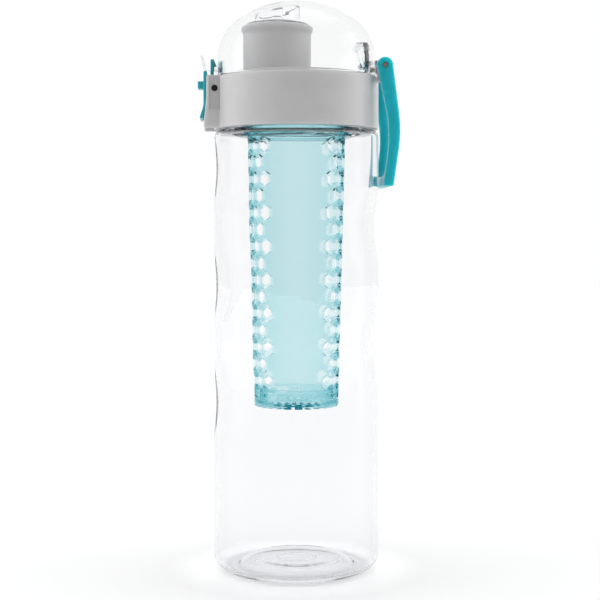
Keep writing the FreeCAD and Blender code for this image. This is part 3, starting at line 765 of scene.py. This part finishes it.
spoutLow, spoutHigh = boxOf("spout")
domeLow, domeHigh = boxOf("dome_lid")
pinLow, pinHigh = boxOf("hinge_pin")
latchPinLow, latchPinHigh = boxOf("latch_pin")
hingeX = (pinLow.x + pinHigh.x) / 2
hingeZ = (pinLow.z + pinHigh.z) / 2
latchX = (latchPinLow.x + latchPinHigh.x) / 2
latchZ = (latchPinLow.z + latchPinHigh.z) / 2
spoutX = (spoutLow.x + spoutHigh.x) / 2
spout = {
    "rim": spoutHigh.y, "flare": 0.9, "wall": 2.2, "rimHeight": 3.6, "foot": spoutLow.z, "top": spoutHigh.z,
    "flareRound": 4.0, "rimRound": 2.0, "steps": 144,
}
spoutOuter = spout["rim"] - spout["flare"]
spoutBore = spoutOuter - spout["wall"]
collar = {
    "radius": collarHigh.y, "bottom": collarLow.z, "height": 22.7, "bore": 31.9, "topRound": 1.2,
    "bottomRound": 0.6, "deckRadius": 31.0, "deckRise": 1.5, "deckThickness": 2.5, "deckEdge": 0.6,
    "socketBore": 22.4, "socketRadius": 24.6, "socketLift": 0.5, "rootRound": 0.5, "rimRound": 0.4,
    "threadPitch": 4.2, "threadTurns": 1.4, "threadHeight": 0.9, "threadWidth": 1.4, "threadStart": 195.4,
    "threadRoot": 0.3, "threadFoot": 0.5, "threadSteps": 96, "blockRound": 0.8, "blockBend": 6.0,
    "cheekIn": 10.3, "cheekOut": 12.5, "blockTop": 3.3, "blockBottom": 4.6, "blockStraight": 9.5,
    "panelRecess": 0.5, "panelWidth": 4.7, "panelOut": 2.2, "panelHeight": 14.9,
    "hubRoom": 2.6, "hubReach": 5.5, "pinRoom": 0.02,
    "earIn": 11.0, "earOut": 15.2, "earRadius": 2.7, "earDrop": 3.0, "earRoot": 3.5, "earSteps": 18,
    "edge": 0.4, "steps": 192,
}
collarTop = collar["bottom"] + collar["height"]
deckTop = collarTop + collar["deckRise"]
deckUnder = collarTop - collar["deckThickness"]


def slabPair(line, inner, outer, edge):
    # the same plate on both sides of the middle
    return addMesh(slabMesh(line, -outer, -inner, edge), slabMesh(line, inner, outer, edge))


def cheekMesh():
    outerTop = -(collar["radius"] + collar["blockTop"])
    outerBottom = -(collar["radius"] + collar["blockBottom"])
    root = -(collar["bore"] + proud)
    line = roundedLine([
        (root, collar["bottom"]), (outerBottom, collar["bottom"], collar["blockRound"]),
        (outerTop, collarTop - collar["blockStraight"], collar["blockBend"]),
        (outerTop, collarTop, collar["blockRound"]), (root, collarTop),
    ], closed=True)
    return slabPair(line, collar["cheekIn"], collar["cheekOut"], collar["edge"])


def panelTools():
    end = -(collar["radius"] + collar["panelOut"])
    low = collarTop - collar["panelHeight"]
    panels = bmesh.new()
    for side in (-1, 1):
        yDeep = side * (collar["cheekOut"] - collar["panelRecess"])
        yOut = side * (collar["cheekOut"] + proud)
        yLow, yHigh = min(yDeep, yOut), max(yDeep, yOut)
        addMesh(panels, boxMesh((end, yLow, low), (end + collar["panelWidth"], yHigh, collarTop + proud)))
    return panels


def earMesh():
    root = math.sqrt(((collar["bore"] + collar["radius"]) / 2) ** 2 - collar["earIn"] ** 2)
    innerX = hingeX - collar["earRadius"]
    rootZ = collarTop - collar["earDrop"]
    underTop = collarTop - collar["topRound"]
    line = [Vector((innerX, underTop)), Vector((root, underTop)), Vector((root, rootZ))]
    line += [Vector((root + collar["earRoot"], rootZ))]
    line += arcLine((hingeX, hingeZ), collar["earRadius"], 0, 180, collar["earSteps"])
    return slabPair(line, collar["earIn"], collar["earOut"], collar["edge"])


def rodMesh(radius, x, z, half, steps=48):
    # a plain round rod along Y
    line = [(0, -half), (radius, -half), (radius, half), (0, half)]
    bm = layAlongY(spunMesh(line, steps))
    return moveMesh(bm, x, 0, z)


def hingeHole(room):
    return rodMesh(pinHigh.x - hingeX + room, hingeX, hingeZ, pinReach)


def latchHole(room):
    return rodMesh(latchPinHigh.x - latchX + room, latchX, latchZ, pinReach)


def uprightMesh(radius, x, zLow, zHigh, steps=96):
    return moveMesh(spunMesh([(0, zLow), (radius, zLow), (radius, zHigh), (0, zHigh)], steps), x)


def collarThread():
    # the ridge inside the collar that meets the neck's
    bm = bmesh.new()
    bore = collar["bore"] + collar["threadRoot"]
    tip = collar["bore"] - collar["threadHeight"]
    half = collar["threadWidth"] / 2
    foot = half + collar["threadFoot"]
    z = collar["threadStart"]
    section = [(bore, z - foot), (tip, z - half / 2), (tip, z + half / 2), (bore, z + foot)]
    face = bm.faces.new([bm.verts.new((x, 0, height)) for x, height in section])
    steps = round(collar["threadSteps"] * collar["threadTurns"])
    rise = collar["threadPitch"] * collar["threadTurns"] / steps
    bmesh.ops.spin(
        bm, geom=[face], cent=(0, 0, 0), axis=(0, 0, 1), dvec=(0, 0, rise),
        angle=2 * math.pi * collar["threadTurns"], steps=steps,
    )
    bmesh.ops.recalc_face_normals(bm, faces=bm.faces)
    return bm


def makeCollar():
    bottom, bore, radius = collar["bottom"], collar["bore"], collar["radius"]
    socketLow = bottom + collar["socketLift"]
    root, rim = collar["rootRound"], collar["rimRound"]
    line = roundedLine([
        (0, deckUnder), (collar["socketBore"], deckUnder, root), (collar["socketBore"], socketLow, rim),
        (collar["socketRadius"], socketLow, rim), (collar["socketRadius"], deckUnder, root),
        (bore, deckUnder, root), (bore, bottom, rim), (radius, bottom, collar["bottomRound"]),
        (radius, collarTop, collar["topRound"]), (collar["deckRadius"], collarTop, rim),
        (collar["deckRadius"], deckTop, collar["deckEdge"]), (0, deckTop),
    ])
    hub = boxMesh(
        (-radius - collar["hubReach"], -collar["cheekIn"], latchZ - collar["hubRoom"]),
        (latchX + collar["hubRoom"], collar["cheekIn"], deckTop + proud),
    )
    bm = carved(
        spunMesh(line, collar["steps"]),
        ("UNION", cheekMesh()), ("UNION", earMesh()),
        ("DIFFERENCE", panelTools()), ("DIFFERENCE", hub),
        ("DIFFERENCE", uprightMesh(spoutBore, spoutX, deckUnder - proud, deckTop + proud)),
        ("DIFFERENCE", latchHole(collar["pinRoom"])), ("DIFFERENCE", hingeHole(collar["pinRoom"])),
    )
    addMesh(bm, collarThread())
    finishPiece("lidCollar", bm, greyCollar, "lid", "lid_collar", sharpTurn=28.0)


def makeSpout():
    rim, top = spout["rim"], spout["top"]
    line = roundedLine([
        (spoutBore, spout["foot"]), (spoutOuter, spout["foot"]),
        (spoutOuter, top - spout["rimHeight"], spout["flareRound"]),
        (rim, top - spout["rimHeight"] / 2, spout["rimRound"]),
        (rim, top, spout["flare"]), (spoutBore, top, spout["flare"] / 2),
    ], closed=True)
    bm = moveMesh(spunMesh(line, spout["steps"], closed=True), spoutX)
    finishPiece("drinkingSpout", bm, greySpoutInShade, "lid", "spout")


vent = {
    "capRadius": 2.2, "capEdge": 0.3, "capRound": 0.9, "stem": 1.1, "tipRound": 0.3,
    "bulb": 1.4, "bulbRound": 0.2, "steps": 40,
}
ventLow, ventHigh = boxOf("vent_plug")
gasketLow, gasketHigh = boxOf("neck_gasket")
gasket = {"bore": 28.1, "edge": 0.4, "steps": 144}


def makeVent():
    line = roundedLine([
        (0, ventLow.z), (vent["stem"] / 2, ventLow.z, vent["tipRound"]),
        (vent["bulb"], deckUnder, vent["bulbRound"]), (vent["stem"], deckUnder), (vent["stem"], deckTop),
        (vent["capRadius"], deckTop, vent["capEdge"]), (vent["capRadius"], ventHigh.z, vent["capRound"]),
        (0, ventHigh.z),
    ])
    bm = moveMesh(spunMesh(line, vent["steps"]), (ventLow.x + ventHigh.x) / 2)
    finishPiece("ventPlug", bm, softSeal, "lid", "vent_plug")


def makeGasket():
    edge = gasket["edge"]
    line = roundedLine([
        (gasket["bore"], gasketLow.z, edge), (gasketHigh.x, gasketLow.z, edge),
        (gasketHigh.x, gasketHigh.z, edge), (gasket["bore"], gasketHigh.z, edge),
    ], closed=True)
    bm = spunMesh(line, gasket["steps"], closed=True)
    finishPiece("neckGasket", bm, softSeal, "lid", "neck_gasket")


makeCollar()
makeSpout()
makeVent()
makeGasket()
print("collar and spout made")


# Dome lid with its lip, hinge knuckle, recess and plug

sealLow, sealHigh = boxOf("spout_seal")
dome = {
    "radius": domeHigh.y, "bottom": domeLow.z, "top": domeHigh.z, "wall": 1.8, "skirt": 8.0, "shoulder": 21.0,
    "tabHalf": 8.5, "rimGap": 0.2, "tabLift": 2.4, "tabThickness": 1.5, "tabReach": 5.9,
    "tabWall": 1.1, "tabFlare": 1.5, "tabRise": 4.9, "tabRound": 1.0, "tabTip": 0.4, "tabInner": 0.6,
    "windowHalf": 6.0, "windowInner": -35.9,
    "knuckleRadius": 3.2, "knuckleHalf": 10.6, "knuckleWeb": 3.0, "knuckleSpan": 68.0, "knuckleSteps": 20,
    "recessHalf": 6.2, "recessRise": 6.2, "recessLow": 5.6, "recessTop": 7.6, "recessRound": 1.2,
    "recessOut": 0.3, "housingLow": 218.8, "housingEdge": 0.5, "housingTurn": 60.0, "pinRoom": 0.05,
    "plugRadius": 10.0, "plugWall": 1.5, "plugEdge": 0.3, "plugSteps": 96,
    "stubRadius": 2.5, "stubDrop": 2.6, "stubEdge": 0.4, "stubSteps": 48,
    "rimRound": 0.4, "edge": 0.3, "steps": 192,
}
domeSpring = dome["bottom"] + dome["skirt"]
domeRise = dome["top"] - domeSpring
domeInset = dome["radius"] - dome["shoulder"]
crownRadius = (domeInset**2 + domeRise**2 - dome["shoulder"] ** 2) / (2 * (domeRise - dome["shoulder"]))
crownZ = domeSpring + domeRise - crownRadius
domeTurn = math.degrees(math.atan2(domeSpring - crownZ, domeInset))


def domeSkin(inset, shoulderSteps=22, crownSteps=16):
    # from the spring line up to the top
    line = arcLine((domeInset, domeSpring), dome["shoulder"] - inset, 0, domeTurn, shoulderSteps)
    return line + arcLine((0, crownZ), crownRadius - inset, domeTurn, 90, crownSteps)[1:]


def domeShell():
    rim = roundedLine([
        (dome["radius"] - dome["wall"], domeSpring),
        (dome["radius"] - dome["wall"], dome["bottom"], dome["rimRound"]),
        (dome["radius"], dome["bottom"], dome["rimRound"]),
        (dome["radius"], domeSpring),
    ])
    line = list(reversed(domeSkin(dome["wall"])))[:-1] + rim + domeSkin(0.0)[1:]
    return spunMesh(line, dome["steps"])


def domeCore(inset):
    line = [Vector((0, dome["bottom"]))] + [Vector((dome["radius"] - inset, dome["bottom"]))]
    return spunMesh(line + domeSkin(inset), dome["steps"])


def tabMesh():
    low = dome["bottom"] - dome["rimGap"] + dome["tabLift"]
    top = low + dome["tabThickness"]
    tip = top + dome["tabRise"]
    root = -dome["radius"] + dome["wall"] / 2
    reach = -(dome["radius"] + dome["tabReach"])
    flare = reach - dome["tabFlare"]
    inner = reach + dome["tabWall"]
    line = roundedLine([
        (root, low), (reach, low, dome["tabRound"]), (flare, tip, dome["tabTip"]),
        (flare + dome["tabWall"], tip, dome["tabTip"]), (inner, top, dome["tabInner"]), (root, top),
    ], closed=True)
    lip = slabMesh(line, -dome["tabHalf"], dome["tabHalf"], dome["edge"], 2)
    window = boxMesh(
        (inner, -dome["windowHalf"], low - proud), (dome["windowInner"], dome["windowHalf"], top + proud)
    )
    return carved(lip, ("DIFFERENCE", window))


def knuckleMesh():
    web = dome["knuckleWeb"]
    span = dome["knuckleSpan"]
    barrel = arcLine((hingeX, hingeZ), dome["knuckleRadius"], -span, span, dome["knuckleSteps"])
    root = dome["radius"] - dome["wall"] / 2
    line = [Vector((root, hingeZ - web))] + barrel + [Vector((root, hingeZ + web))]
    return slabMesh(line, -dome["knuckleHalf"], dome["knuckleHalf"], dome["edge"], 2)


def recessMesh(grown, low, outerX):
    lowX = dome["radius"] - dome["recessLow"] - grown
    topX = dome["radius"] - dome["recessTop"] - grown
    lean = (lowX - topX) / dome["recessRise"]
    sill = hingeZ + dome["knuckleWeb"]
    top = sill + dome["recessRise"] + grown
    line = roundedLine([
        (lowX + lean * (sill - low), low), (lowX - lean * (top - sill), top, dome["recessRound"]),
        (outerX, top), (outerX, low),
    ], closed=True)
    half = dome["recessHalf"] + grown
    return slabMesh(line, -half, half, dome["housingEdge"] if grown else 0.0, 2, dome["housingTurn"])


def plugMesh():
    # the skirt and stub that hold the seal, reaching up into the dome's wall
    low = sealHigh.z
    outer = dome["plugRadius"]
    inner = outer - dome["plugWall"]
    edge = dome["plugEdge"]
    stubLow = low - dome["stubDrop"]
    skirt = roundedLine([
        (inner, low, edge), (outer, low, edge), (outer, dome["top"]), (inner, dome["top"]),
    ], closed=True)
    stub = roundedLine([
        (0, stubLow), (dome["stubRadius"], stubLow, dome["stubEdge"]),
        (dome["stubRadius"], dome["top"]), (0, dome["top"]),
    ])
    bm = spunMesh(skirt, dome["plugSteps"], closed=True)
    return moveMesh(addMesh(bm, spunMesh(stub, dome["stubSteps"])), spoutX)


def makeDome():
    halfWall = dome["wall"] / 2
    plug = carved(plugMesh(), ("INTERSECT", domeCore(halfWall)))
    housing = carved(
        recessMesh(dome["wall"], dome["housingLow"], dome["radius"]), ("INTERSECT", domeCore(halfWall))
    )
    recess = recessMesh(0.0, hingeZ + dome["knuckleWeb"], dome["radius"] + dome["recessOut"])
    bm = carved(
        domeShell(),
        ("UNION", tabMesh()), ("UNION", knuckleMesh()), ("UNION", housing),
        ("DIFFERENCE", recess), ("UNION", plug), ("DIFFERENCE", hingeHole(dome["pinRoom"])),
    )
    finishPiece("domeLid", bm, clearDome, "dome", "dome_lid", sharpTurn=30.0)


seal = {
    "flange": 0.7, "plugDepth": 3.5, "plugRadius": 11.4, "floor": 1.2, "skirtBore": 8.5,
    "boss": 5.0, "stubHole": 2.52, "neck": 10.6, "edge": 0.3, "steps": 96,
}


def makeSeal():
    low, high, edge = sealLow.z, sealHigh.z, seal["edge"]
    under = low + seal["plugDepth"]
    over = under + seal["flange"]
    pocket = low + seal["floor"]
    radius = (sealHigh.x - sealLow.x) / 2
    line = roundedLine([
        (0, low), (seal["plugRadius"], low, seal["floor"]), (seal["plugRadius"], under, edge),
        (radius, under, edge), (radius, over, edge), (seal["neck"], over, edge), (seal["neck"], high, edge),
        (seal["skirtBore"], high, edge), (seal["skirtBore"], pocket, edge),
        (seal["boss"], pocket, edge), (seal["boss"], under, edge),
        (seal["stubHole"], under, edge), (seal["stubHole"], pocket, edge), (0, pocket),
    ])
    bm = moveMesh(spunMesh(line, seal["steps"]), spoutX)
    finishPiece("spoutSeal", bm, softSeal, "dome", "spout_seal")


makeDome()
makeSeal()
print("dome made")


# Carry handle

handle = {
    "armIn": 15.6, "armOut": 19.6, "eye": 3.4, "eyeSteps": 18, "thickness": 4.3,
    "kneeDrop": 28.4, "kneeOut": 4.8, "kneeRound": 60.0, "length": 51.8, "footOut": 1.4, "footRound": 0.6,
    "bar": 4.6, "gapReach": 30.0, "gapTop": 10.0, "corner": 5.0, "cornerSegments": 8,
    "flatTurn": 1.0, "edge": 0.9, "edgeTurn": 50.0, "pinRoom": 0.05,
}


def makeHandle():
    half, eye = handle["thickness"] / 2, handle["eye"]
    kneeX = hingeX + handle["kneeOut"]
    kneeZ = hingeZ - handle["kneeDrop"]
    footX = hingeX + handle["footOut"]
    footZ = hingeZ - handle["length"]
    knee, foot = handle["kneeRound"], handle["footRound"]
    line = roundedLine([
        (hingeX + eye, hingeZ), (kneeX + half, kneeZ, knee), (footX + half, footZ, foot),
        (footX - half, footZ, foot), (kneeX - half, kneeZ, knee), (hingeX - eye, hingeZ),
    ])
    line += arcLine((hingeX, hingeZ), eye, 180, 0, handle["eyeSteps"])[1:-1]
    stirrup = slabMesh(line, -handle["armOut"], handle["armOut"])
    gap = boxMesh(
        (footX - handle["gapReach"], -handle["armIn"], footZ + handle["bar"]),
        (footX + handle["gapReach"], handle["armIn"], hingeZ + handle["gapTop"]),
    )
    lower = [
        edge for edge in gap.edges
        if all(vert.co.z < kneeZ for vert in edge.verts) and edge.verts[0].co.y == edge.verts[1].co.y
    ]
    bmesh.ops.bevel(
        gap, geom=lower, offset=handle["corner"], affect="EDGES", segments=handle["cornerSegments"],
        profile=0.5, material=-1,
    )
    bm = carved(stirrup, ("DIFFERENCE", gap))
    bmesh.ops.dissolve_limit(bm, angle_limit=math.radians(handle["flatTurn"]), verts=bm.verts, edges=bm.edges)
    easeEdges(bm, handle["edge"], minTurn=handle["edgeTurn"])
    bm = carved(bm, ("DIFFERENCE", hingeHole(handle["pinRoom"])))
    finishPiece("carryHandle", bm, tealHandle, "handle", "carry_handle", sharpTurn=35.0)


makeHandle()


# Latch lever, lock slider, pins and spring

leverLow, leverHigh = boxOf("latch_lever")
sliderLow, sliderHigh = boxOf("lock_slider")
latch = {
    "plate": 1.6, "straight": 15.0, "tailOut": 1.8, "plateTop": 216.4, "tipRound": 0.5, "bendRound": 8.0,
    "hub": 2.3, "hubInset": 0.04, "web": 4.6, "webRoot": 0.5, "webInset": 0.02,
    "hookHalf": 5.5, "hookInner": -36.2, "hookThickness": 1.4, "hookRound": 0.3, "hookEdge": 0.2,
    "hookTurn": 50.0, "barbTip": -34.9, "barbLow": 218.7, "barbFlat": 0.2,
    "tongueHalf": 1.6, "tongueDepth": 0.9, "grooveLow": 209.0, "grooveHigh": 215.6, "pinRoom": 0.05,
    "edge": 0.35, "plateTurn": 40.0,
}


def makeLever():
    outer = leverLow.x + latch["tailOut"]
    inner = outer + latch["plate"]
    tailInner = leverLow.x + latch["plate"]
    straightLow = latch["plateTop"] - latch["straight"]
    tip, bend = latch["tipRound"], latch["bendRound"]
    half = leverHigh.y
    plateLine = roundedLine([
        (outer, latch["plateTop"], tip), (outer, straightLow, bend), (leverLow.x, leverLow.z, tip),
        (tailInner, leverLow.z, tip), (inner, straightLow, bend), (inner, latch["plateTop"], tip),
    ], closed=True)
    plate = slabMesh(plateLine, -half, half, latch["edge"], minTurn=latch["plateTurn"])
    webRoot = inner - latch["webRoot"]
    webHalf = half - latch["webInset"]
    web = slabMesh([
        (webRoot, latchZ - latch["web"] / 2), (latchX, latchZ - latch["hub"]),
        (latchX, latchZ + latch["hub"]), (webRoot, latchZ + latch["web"] / 2),
    ], -webHalf, webHalf)
    hub = rodMesh(latch["hub"], latchX, latchZ, half - latch["hubInset"])
    hookInner, barbLow = latch["hookInner"], latch["barbLow"]
    hookOuter = hookInner - latch["hookThickness"]
    hookLine = roundedLine([
        (hookInner, latchZ), (hookInner, barbLow, latch["hookRound"]), (latch["barbTip"], barbLow),
        (latch["barbTip"], barbLow + latch["barbFlat"]), (hookInner, leverHigh.z, tip),
        (hookOuter, leverHigh.z, tip), (hookOuter, latchZ),
    ], closed=True)
    hook = slabMesh(hookLine, -latch["hookHalf"], latch["hookHalf"], latch["hookEdge"], 2, latch["hookTurn"])
    groove = boxMesh(
        (outer - proud, -latch["tongueHalf"], latch["grooveLow"]),
        (outer + latch["tongueDepth"], latch["tongueHalf"], latch["grooveHigh"]),
    )
    bm = carved(
        plate,
        ("UNION", web), ("UNION", hub), ("UNION", hook),
        ("DIFFERENCE", groove), ("DIFFERENCE", latchHole(latch["pinRoom"])),
    )
    finishPiece("latchLever", bm, tealLatch, "latch", "latch_lever")


slider = {
    "depth": 2.5, "root": 0.1, "tongueHalf": 1.5, "round": 0.6, "roundSegments": 4,
    "ribs": 3, "ribDepth": 0.3, "ribWidth": 0.5, "ribInset": 1.0,
}


def makeSlider():
    half = sliderHigh.y
    face = sliderLow.x + slider["depth"]
    root = face - slider["root"]
    nub = boxMesh((sliderLow.x, -half, sliderLow.z), (face, half, sliderHigh.z))
    front = [edge for edge in nub.edges if any(vert.co.x < root for vert in edge.verts)]
    bmesh.ops.bevel(
        nub, geom=front, offset=slider["round"], affect="EDGES", segments=slider["roundSegments"],
        profile=0.5, material=-1,
    )
    pitch = (sliderHigh.z - sliderLow.z) / (slider["ribs"] + 1)
    halfRib = slider["ribWidth"] / 2
    ribEnd = half - slider["ribInset"]
    ribFloor = sliderLow.x + slider["ribDepth"]
    grooves = bmesh.new()
    for index in range(slider["ribs"]):
        z = sliderLow.z + pitch * (index + 1)
        low, high = (sliderLow.x - proud, -ribEnd, z - halfRib), (ribFloor, ribEnd, z + halfRib)
        addMesh(grooves, boxMesh(low, high))
    tongueHalf = slider["tongueHalf"]
    tongue = boxMesh((root, -tongueHalf, sliderLow.z), (sliderHigh.x, tongueHalf, sliderHigh.z))
    bm = carved(nub, ("DIFFERENCE", grooves), ("UNION", tongue))
    finishPiece("lockSlider", bm, tealLatch, "lock", "lock_slider")


pins = {"chamfer": 0.35, "rowHeight": 4.0, "steps": 48}


def makePin(name, node, material):
    low, high = boxOf(node)
    radius = (high.x - low.x) / 2
    half = (high.y - low.y) / 2
    line = roundedLine([
        (0, -half), (radius, -half, pins["chamfer"]), (radius, half, pins["chamfer"]), (0, half),
    ])
    bm = layAlongY(spunMesh(line, pins["steps"], rowHeight=pins["rowHeight"]))
    moveMesh(bm, (low.x + high.x) / 2, 0, (low.z + high.z) / 2)
    finishPiece(name, bm, material, "lid", node)


springLow, springHigh = boxOf("latch_spring")
spring = {"thickness": 0.35, "steps": 24, "keep": 0.3, "edge": 0.08, "edgeTurn": 40.0}


def bowLine(seatX, crestX):
    # an arc from the seat at the top, out to the crest and back to the seat
    middle = (springLow.z + springHigh.z) / 2
    half = (springHigh.z - springLow.z) / 2
    rise = seatX - crestX
    radius = (half**2 + rise**2) / (2 * rise)
    reach = math.degrees(math.asin(half / radius))
    return arcLine((crestX + radius, middle), radius, 180 - reach, 180 + reach, spring["steps"])


def makeSpring():
    seat, crest = springHigh.x, springLow.x
    outer = bowLine(seat - spring["thickness"], crest)
    inner = bowLine(seat, crest + spring["thickness"])
    line = outer + inner[::-1]
    bm = slabMesh(line, springLow.y, springHigh.y, spring["edge"], 2, spring["edgeTurn"])
    leaf = finishPiece("latchSpring", bm, springSteel, "lid", "latch_spring")
    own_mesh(leaf)


makeLever()
makeSlider()
makeSpring()
makePin("hingePin", "hinge_pin", brownSteel)
makePin("latchPin", "latch_pin", blackSteel)
print("handle, latch and pins made")


# Floor, light and camera

studio = {
    "floorSize": 6.0, "floorCells": 8, "floorColour": (0.93, 0.93, 0.935), "floorRough": 0.22,
    "floorSpecular": 0.25, "glowReach": 1.2,
    # floor emission by distance: under the bottle it is painted light that fills the bottle's shadow; far off
    # it brings the floor up to an even white
    "glowAndPaintedFill": [(0.0, 0.28), (1.2, 0.18), (0.034, 0.22), (0.055, 0.02), (0.35, 0.03), (0.9, 0.14)],
    "front": 0.30, "side": 0.80, "sideAt": 0.5, "back": 1.0, "backFrom": 0.75,
    "top": 0.85, "topFrom": 0.3, "topFull": 0.9, "clearLow": 0.6, "bounces": 32, "clearBounces": 16,
    "lamps": [
        ("leftSoftbox", 2.3, (-0.8, 0.0, 0.35), 0.13, (0.5, 0.9)),
        ("rightSoftbox", 2.1, (0.8, 0.0, 0.35), 0.13, (0.5, 0.9)),
        ("topSoftbox", 1.5, (0, 0.1, 0.95), 0.15, (0.8, 0.8)),
    ],
}
camera = {
    "distance": 0.615, "height": 0.147, "side": 0.0016, "azimuth": -3.0, "horizon": 232.0,
    "focalPixels": 1400.0, "imageWidth": 600.0, "sensor": 36.0, "clipStart": 0.01,
}


def makeFloor():
    bm = bmesh.new()
    cells = studio["floorCells"]
    bmesh.ops.create_grid(bm, x_segments=cells, y_segments=cells, size=studio["floorSize"] / 2)
    mesh = bpy.data.meshes.new("floor")
    bm.to_mesh(mesh)
    bm.free()
    floor = bpy.data.objects.new("floor", mesh)
    scene.collection.objects.link(floor)
    material, tree, shader = newMaterial("paleFloor")
    shader.inputs["Base Color"].default_value = (*studio["floorColour"], 1)
    shader.inputs["Roughness"].default_value = studio["floorRough"]
    shader.inputs["Specular IOR Level"].default_value = studio["floorSpecular"]
    shader.inputs["Emission Color"].default_value = (1, 1, 1, 1)
    coordinates = tree.nodes.new("ShaderNodeTexCoord")
    away = tree.nodes.new("ShaderNodeVectorMath")
    away.operation = "LENGTH"
    tree.links.new(coordinates.outputs["Object"], away.inputs[0])
    share = tree.nodes.new("ShaderNodeMapRange")
    share.inputs["From Max"].default_value = studio["glowReach"]
    tree.links.new(away.outputs["Value"], share.inputs["Value"])
    # painted light under the bottle, even white glow farther out
    glowAndPaintedFill = tree.nodes.new("ShaderNodeValToRGB")
    steps = glowAndPaintedFill.color_ramp.elements
    for index, (distance, strength) in enumerate(studio["glowAndPaintedFill"]):
        place = distance / studio["glowReach"]
        step = steps[index] if index < 2 else steps.new(place)
        step.position = place
        step.color = (strength, strength, strength, 1)
    tree.links.new(share.outputs["Result"], glowAndPaintedFill.inputs["Fac"])
    tree.links.new(glowAndPaintedFill.outputs["Color"], shader.inputs["Emission Strength"])
    mesh.materials.append(material)


def whiteLight(tree, strength=None):
    light = tree.nodes.new("ShaderNodeBackground")
    light.inputs["Color"].default_value = (1, 1, 1, 1)
    if strength is not None:
        tree.links.new(strength, light.inputs["Strength"])
    return light.outputs["Background"]


def mixedLight(tree, share, first, second):
    mix = tree.nodes.new("ShaderNodeMixShader")
    for socket, source in zip(mix.inputs, (share, first, second)):
        tree.links.new(source, socket)
    return mix.outputs["Shader"]


def makeWorld():
    # white to the camera; what the clear plastic shows is bright behind and greyer at the sides
    world = bpy.data.worlds.new("studio")
    scene.world = world
    world.use_nodes = True
    tree = world.node_tree
    tree.nodes.clear()
    output = tree.nodes.new("ShaderNodeOutputWorld")
    path = tree.nodes.new("ShaderNodeLightPath")
    coordinates = tree.nodes.new("ShaderNodeTexCoord")
    split = tree.nodes.new("ShaderNodeSeparateXYZ")
    tree.links.new(coordinates.outputs["Generated"], split.inputs["Vector"])
    depth = tree.nodes.new("ShaderNodeMapRange")
    depth.inputs["From Min"].default_value = -1.0
    tree.links.new(split.outputs["Y"], depth.inputs["Value"])
    tent = tree.nodes.new("ShaderNodeValToRGB")
    tent.color_ramp.interpolation = "EASE"
    ramp = tent.color_ramp.elements
    ramp[0].color = (*[studio["front"]] * 3, 1)
    ramp[1].color = (*[studio["back"]] * 3, 1)
    ramp[1].position = studio["backFrom"]
    ramp.new(studio["sideAt"]).color = (*[studio["side"]] * 3, 1)
    tree.links.new(depth.outputs["Result"], tent.inputs["Fac"])
    overhead = tree.nodes.new("ShaderNodeMapRange")
    overhead.interpolation_type = "SMOOTHSTEP"
    overhead.inputs["From Min"].default_value = studio["topFrom"]
    overhead.inputs["From Max"].default_value = studio["topFull"]
    overhead.inputs["To Max"].default_value = studio["top"]
    tree.links.new(split.outputs["Z"], overhead.inputs["Value"])
    brighter = mathNode(tree, "MAXIMUM", tent.outputs["Color"], overhead.outputs["Result"])
    lifted = tree.nodes.new("ShaderNodeMapRange")
    lifted.inputs["To Min"].default_value = studio["clearLow"]
    tree.links.new(brighter, lifted.inputs["Value"])
    inPlastic = mathNode(tree, "MAXIMUM", path.outputs["Is Transmission Ray"], path.outputs["Is Glossy Ray"])
    lit = mixedLight(tree, inPlastic, whiteLight(tree, brighter), whiteLight(tree, lifted.outputs["Result"]))
    shown = mixedLight(tree, path.outputs["Is Camera Ray"], lit, whiteLight(tree))
    tree.links.new(shown, output.inputs["Surface"])


def addLamp(name, power, place, aimHeight, size):
    lamp = bpy.data.lights.new(name, "AREA")
    lamp.shape = "RECTANGLE"
    lamp.size, lamp.size_y = size
    lamp.energy = power
    thing = bpy.data.objects.new(name, lamp)
    thing.location = place
    aim = Vector((0, 0, aimHeight)) - Vector(place)
    thing.rotation_euler = aim.to_track_quat("-Z", "Y").to_euler()
    scene.collection.objects.link(thing)


def makeCamera():
    lens = bpy.data.cameras.new("view")
    lens.sensor_width = camera["sensor"]
    lens.lens = camera["focalPixels"] / camera["imageWidth"] * camera["sensor"]
    lens.clip_start = camera["clipStart"]
    thing = bpy.data.objects.new("view", lens)
    lens.shift_y = (camera["horizon"] - camera["imageWidth"] / 2) / camera["imageWidth"]
    spot = Vector((camera["side"], -camera["distance"], camera["height"]))
    thing.location = Matrix.Rotation(math.radians(camera["azimuth"]), 3, "Z") @ spot
    thing.rotation_euler = (math.radians(90), 0, math.radians(camera["azimuth"]))
    scene.collection.objects.link(thing)
    scene.camera = thing


makeFloor()
makeWorld()
for lampLook in studio["lamps"]:
    addLamp(*lampLook)
makeCamera()
scene.view_settings.view_transform = "Standard"
scene.cycles.max_bounces = studio["bounces"]
scene.cycles.transmission_bounces = studio["bounces"]
scene.cycles.glossy_bounces = studio["bounces"]
scene.cycles.transparent_max_bounces = studio["clearBounces"]
print("studio made")
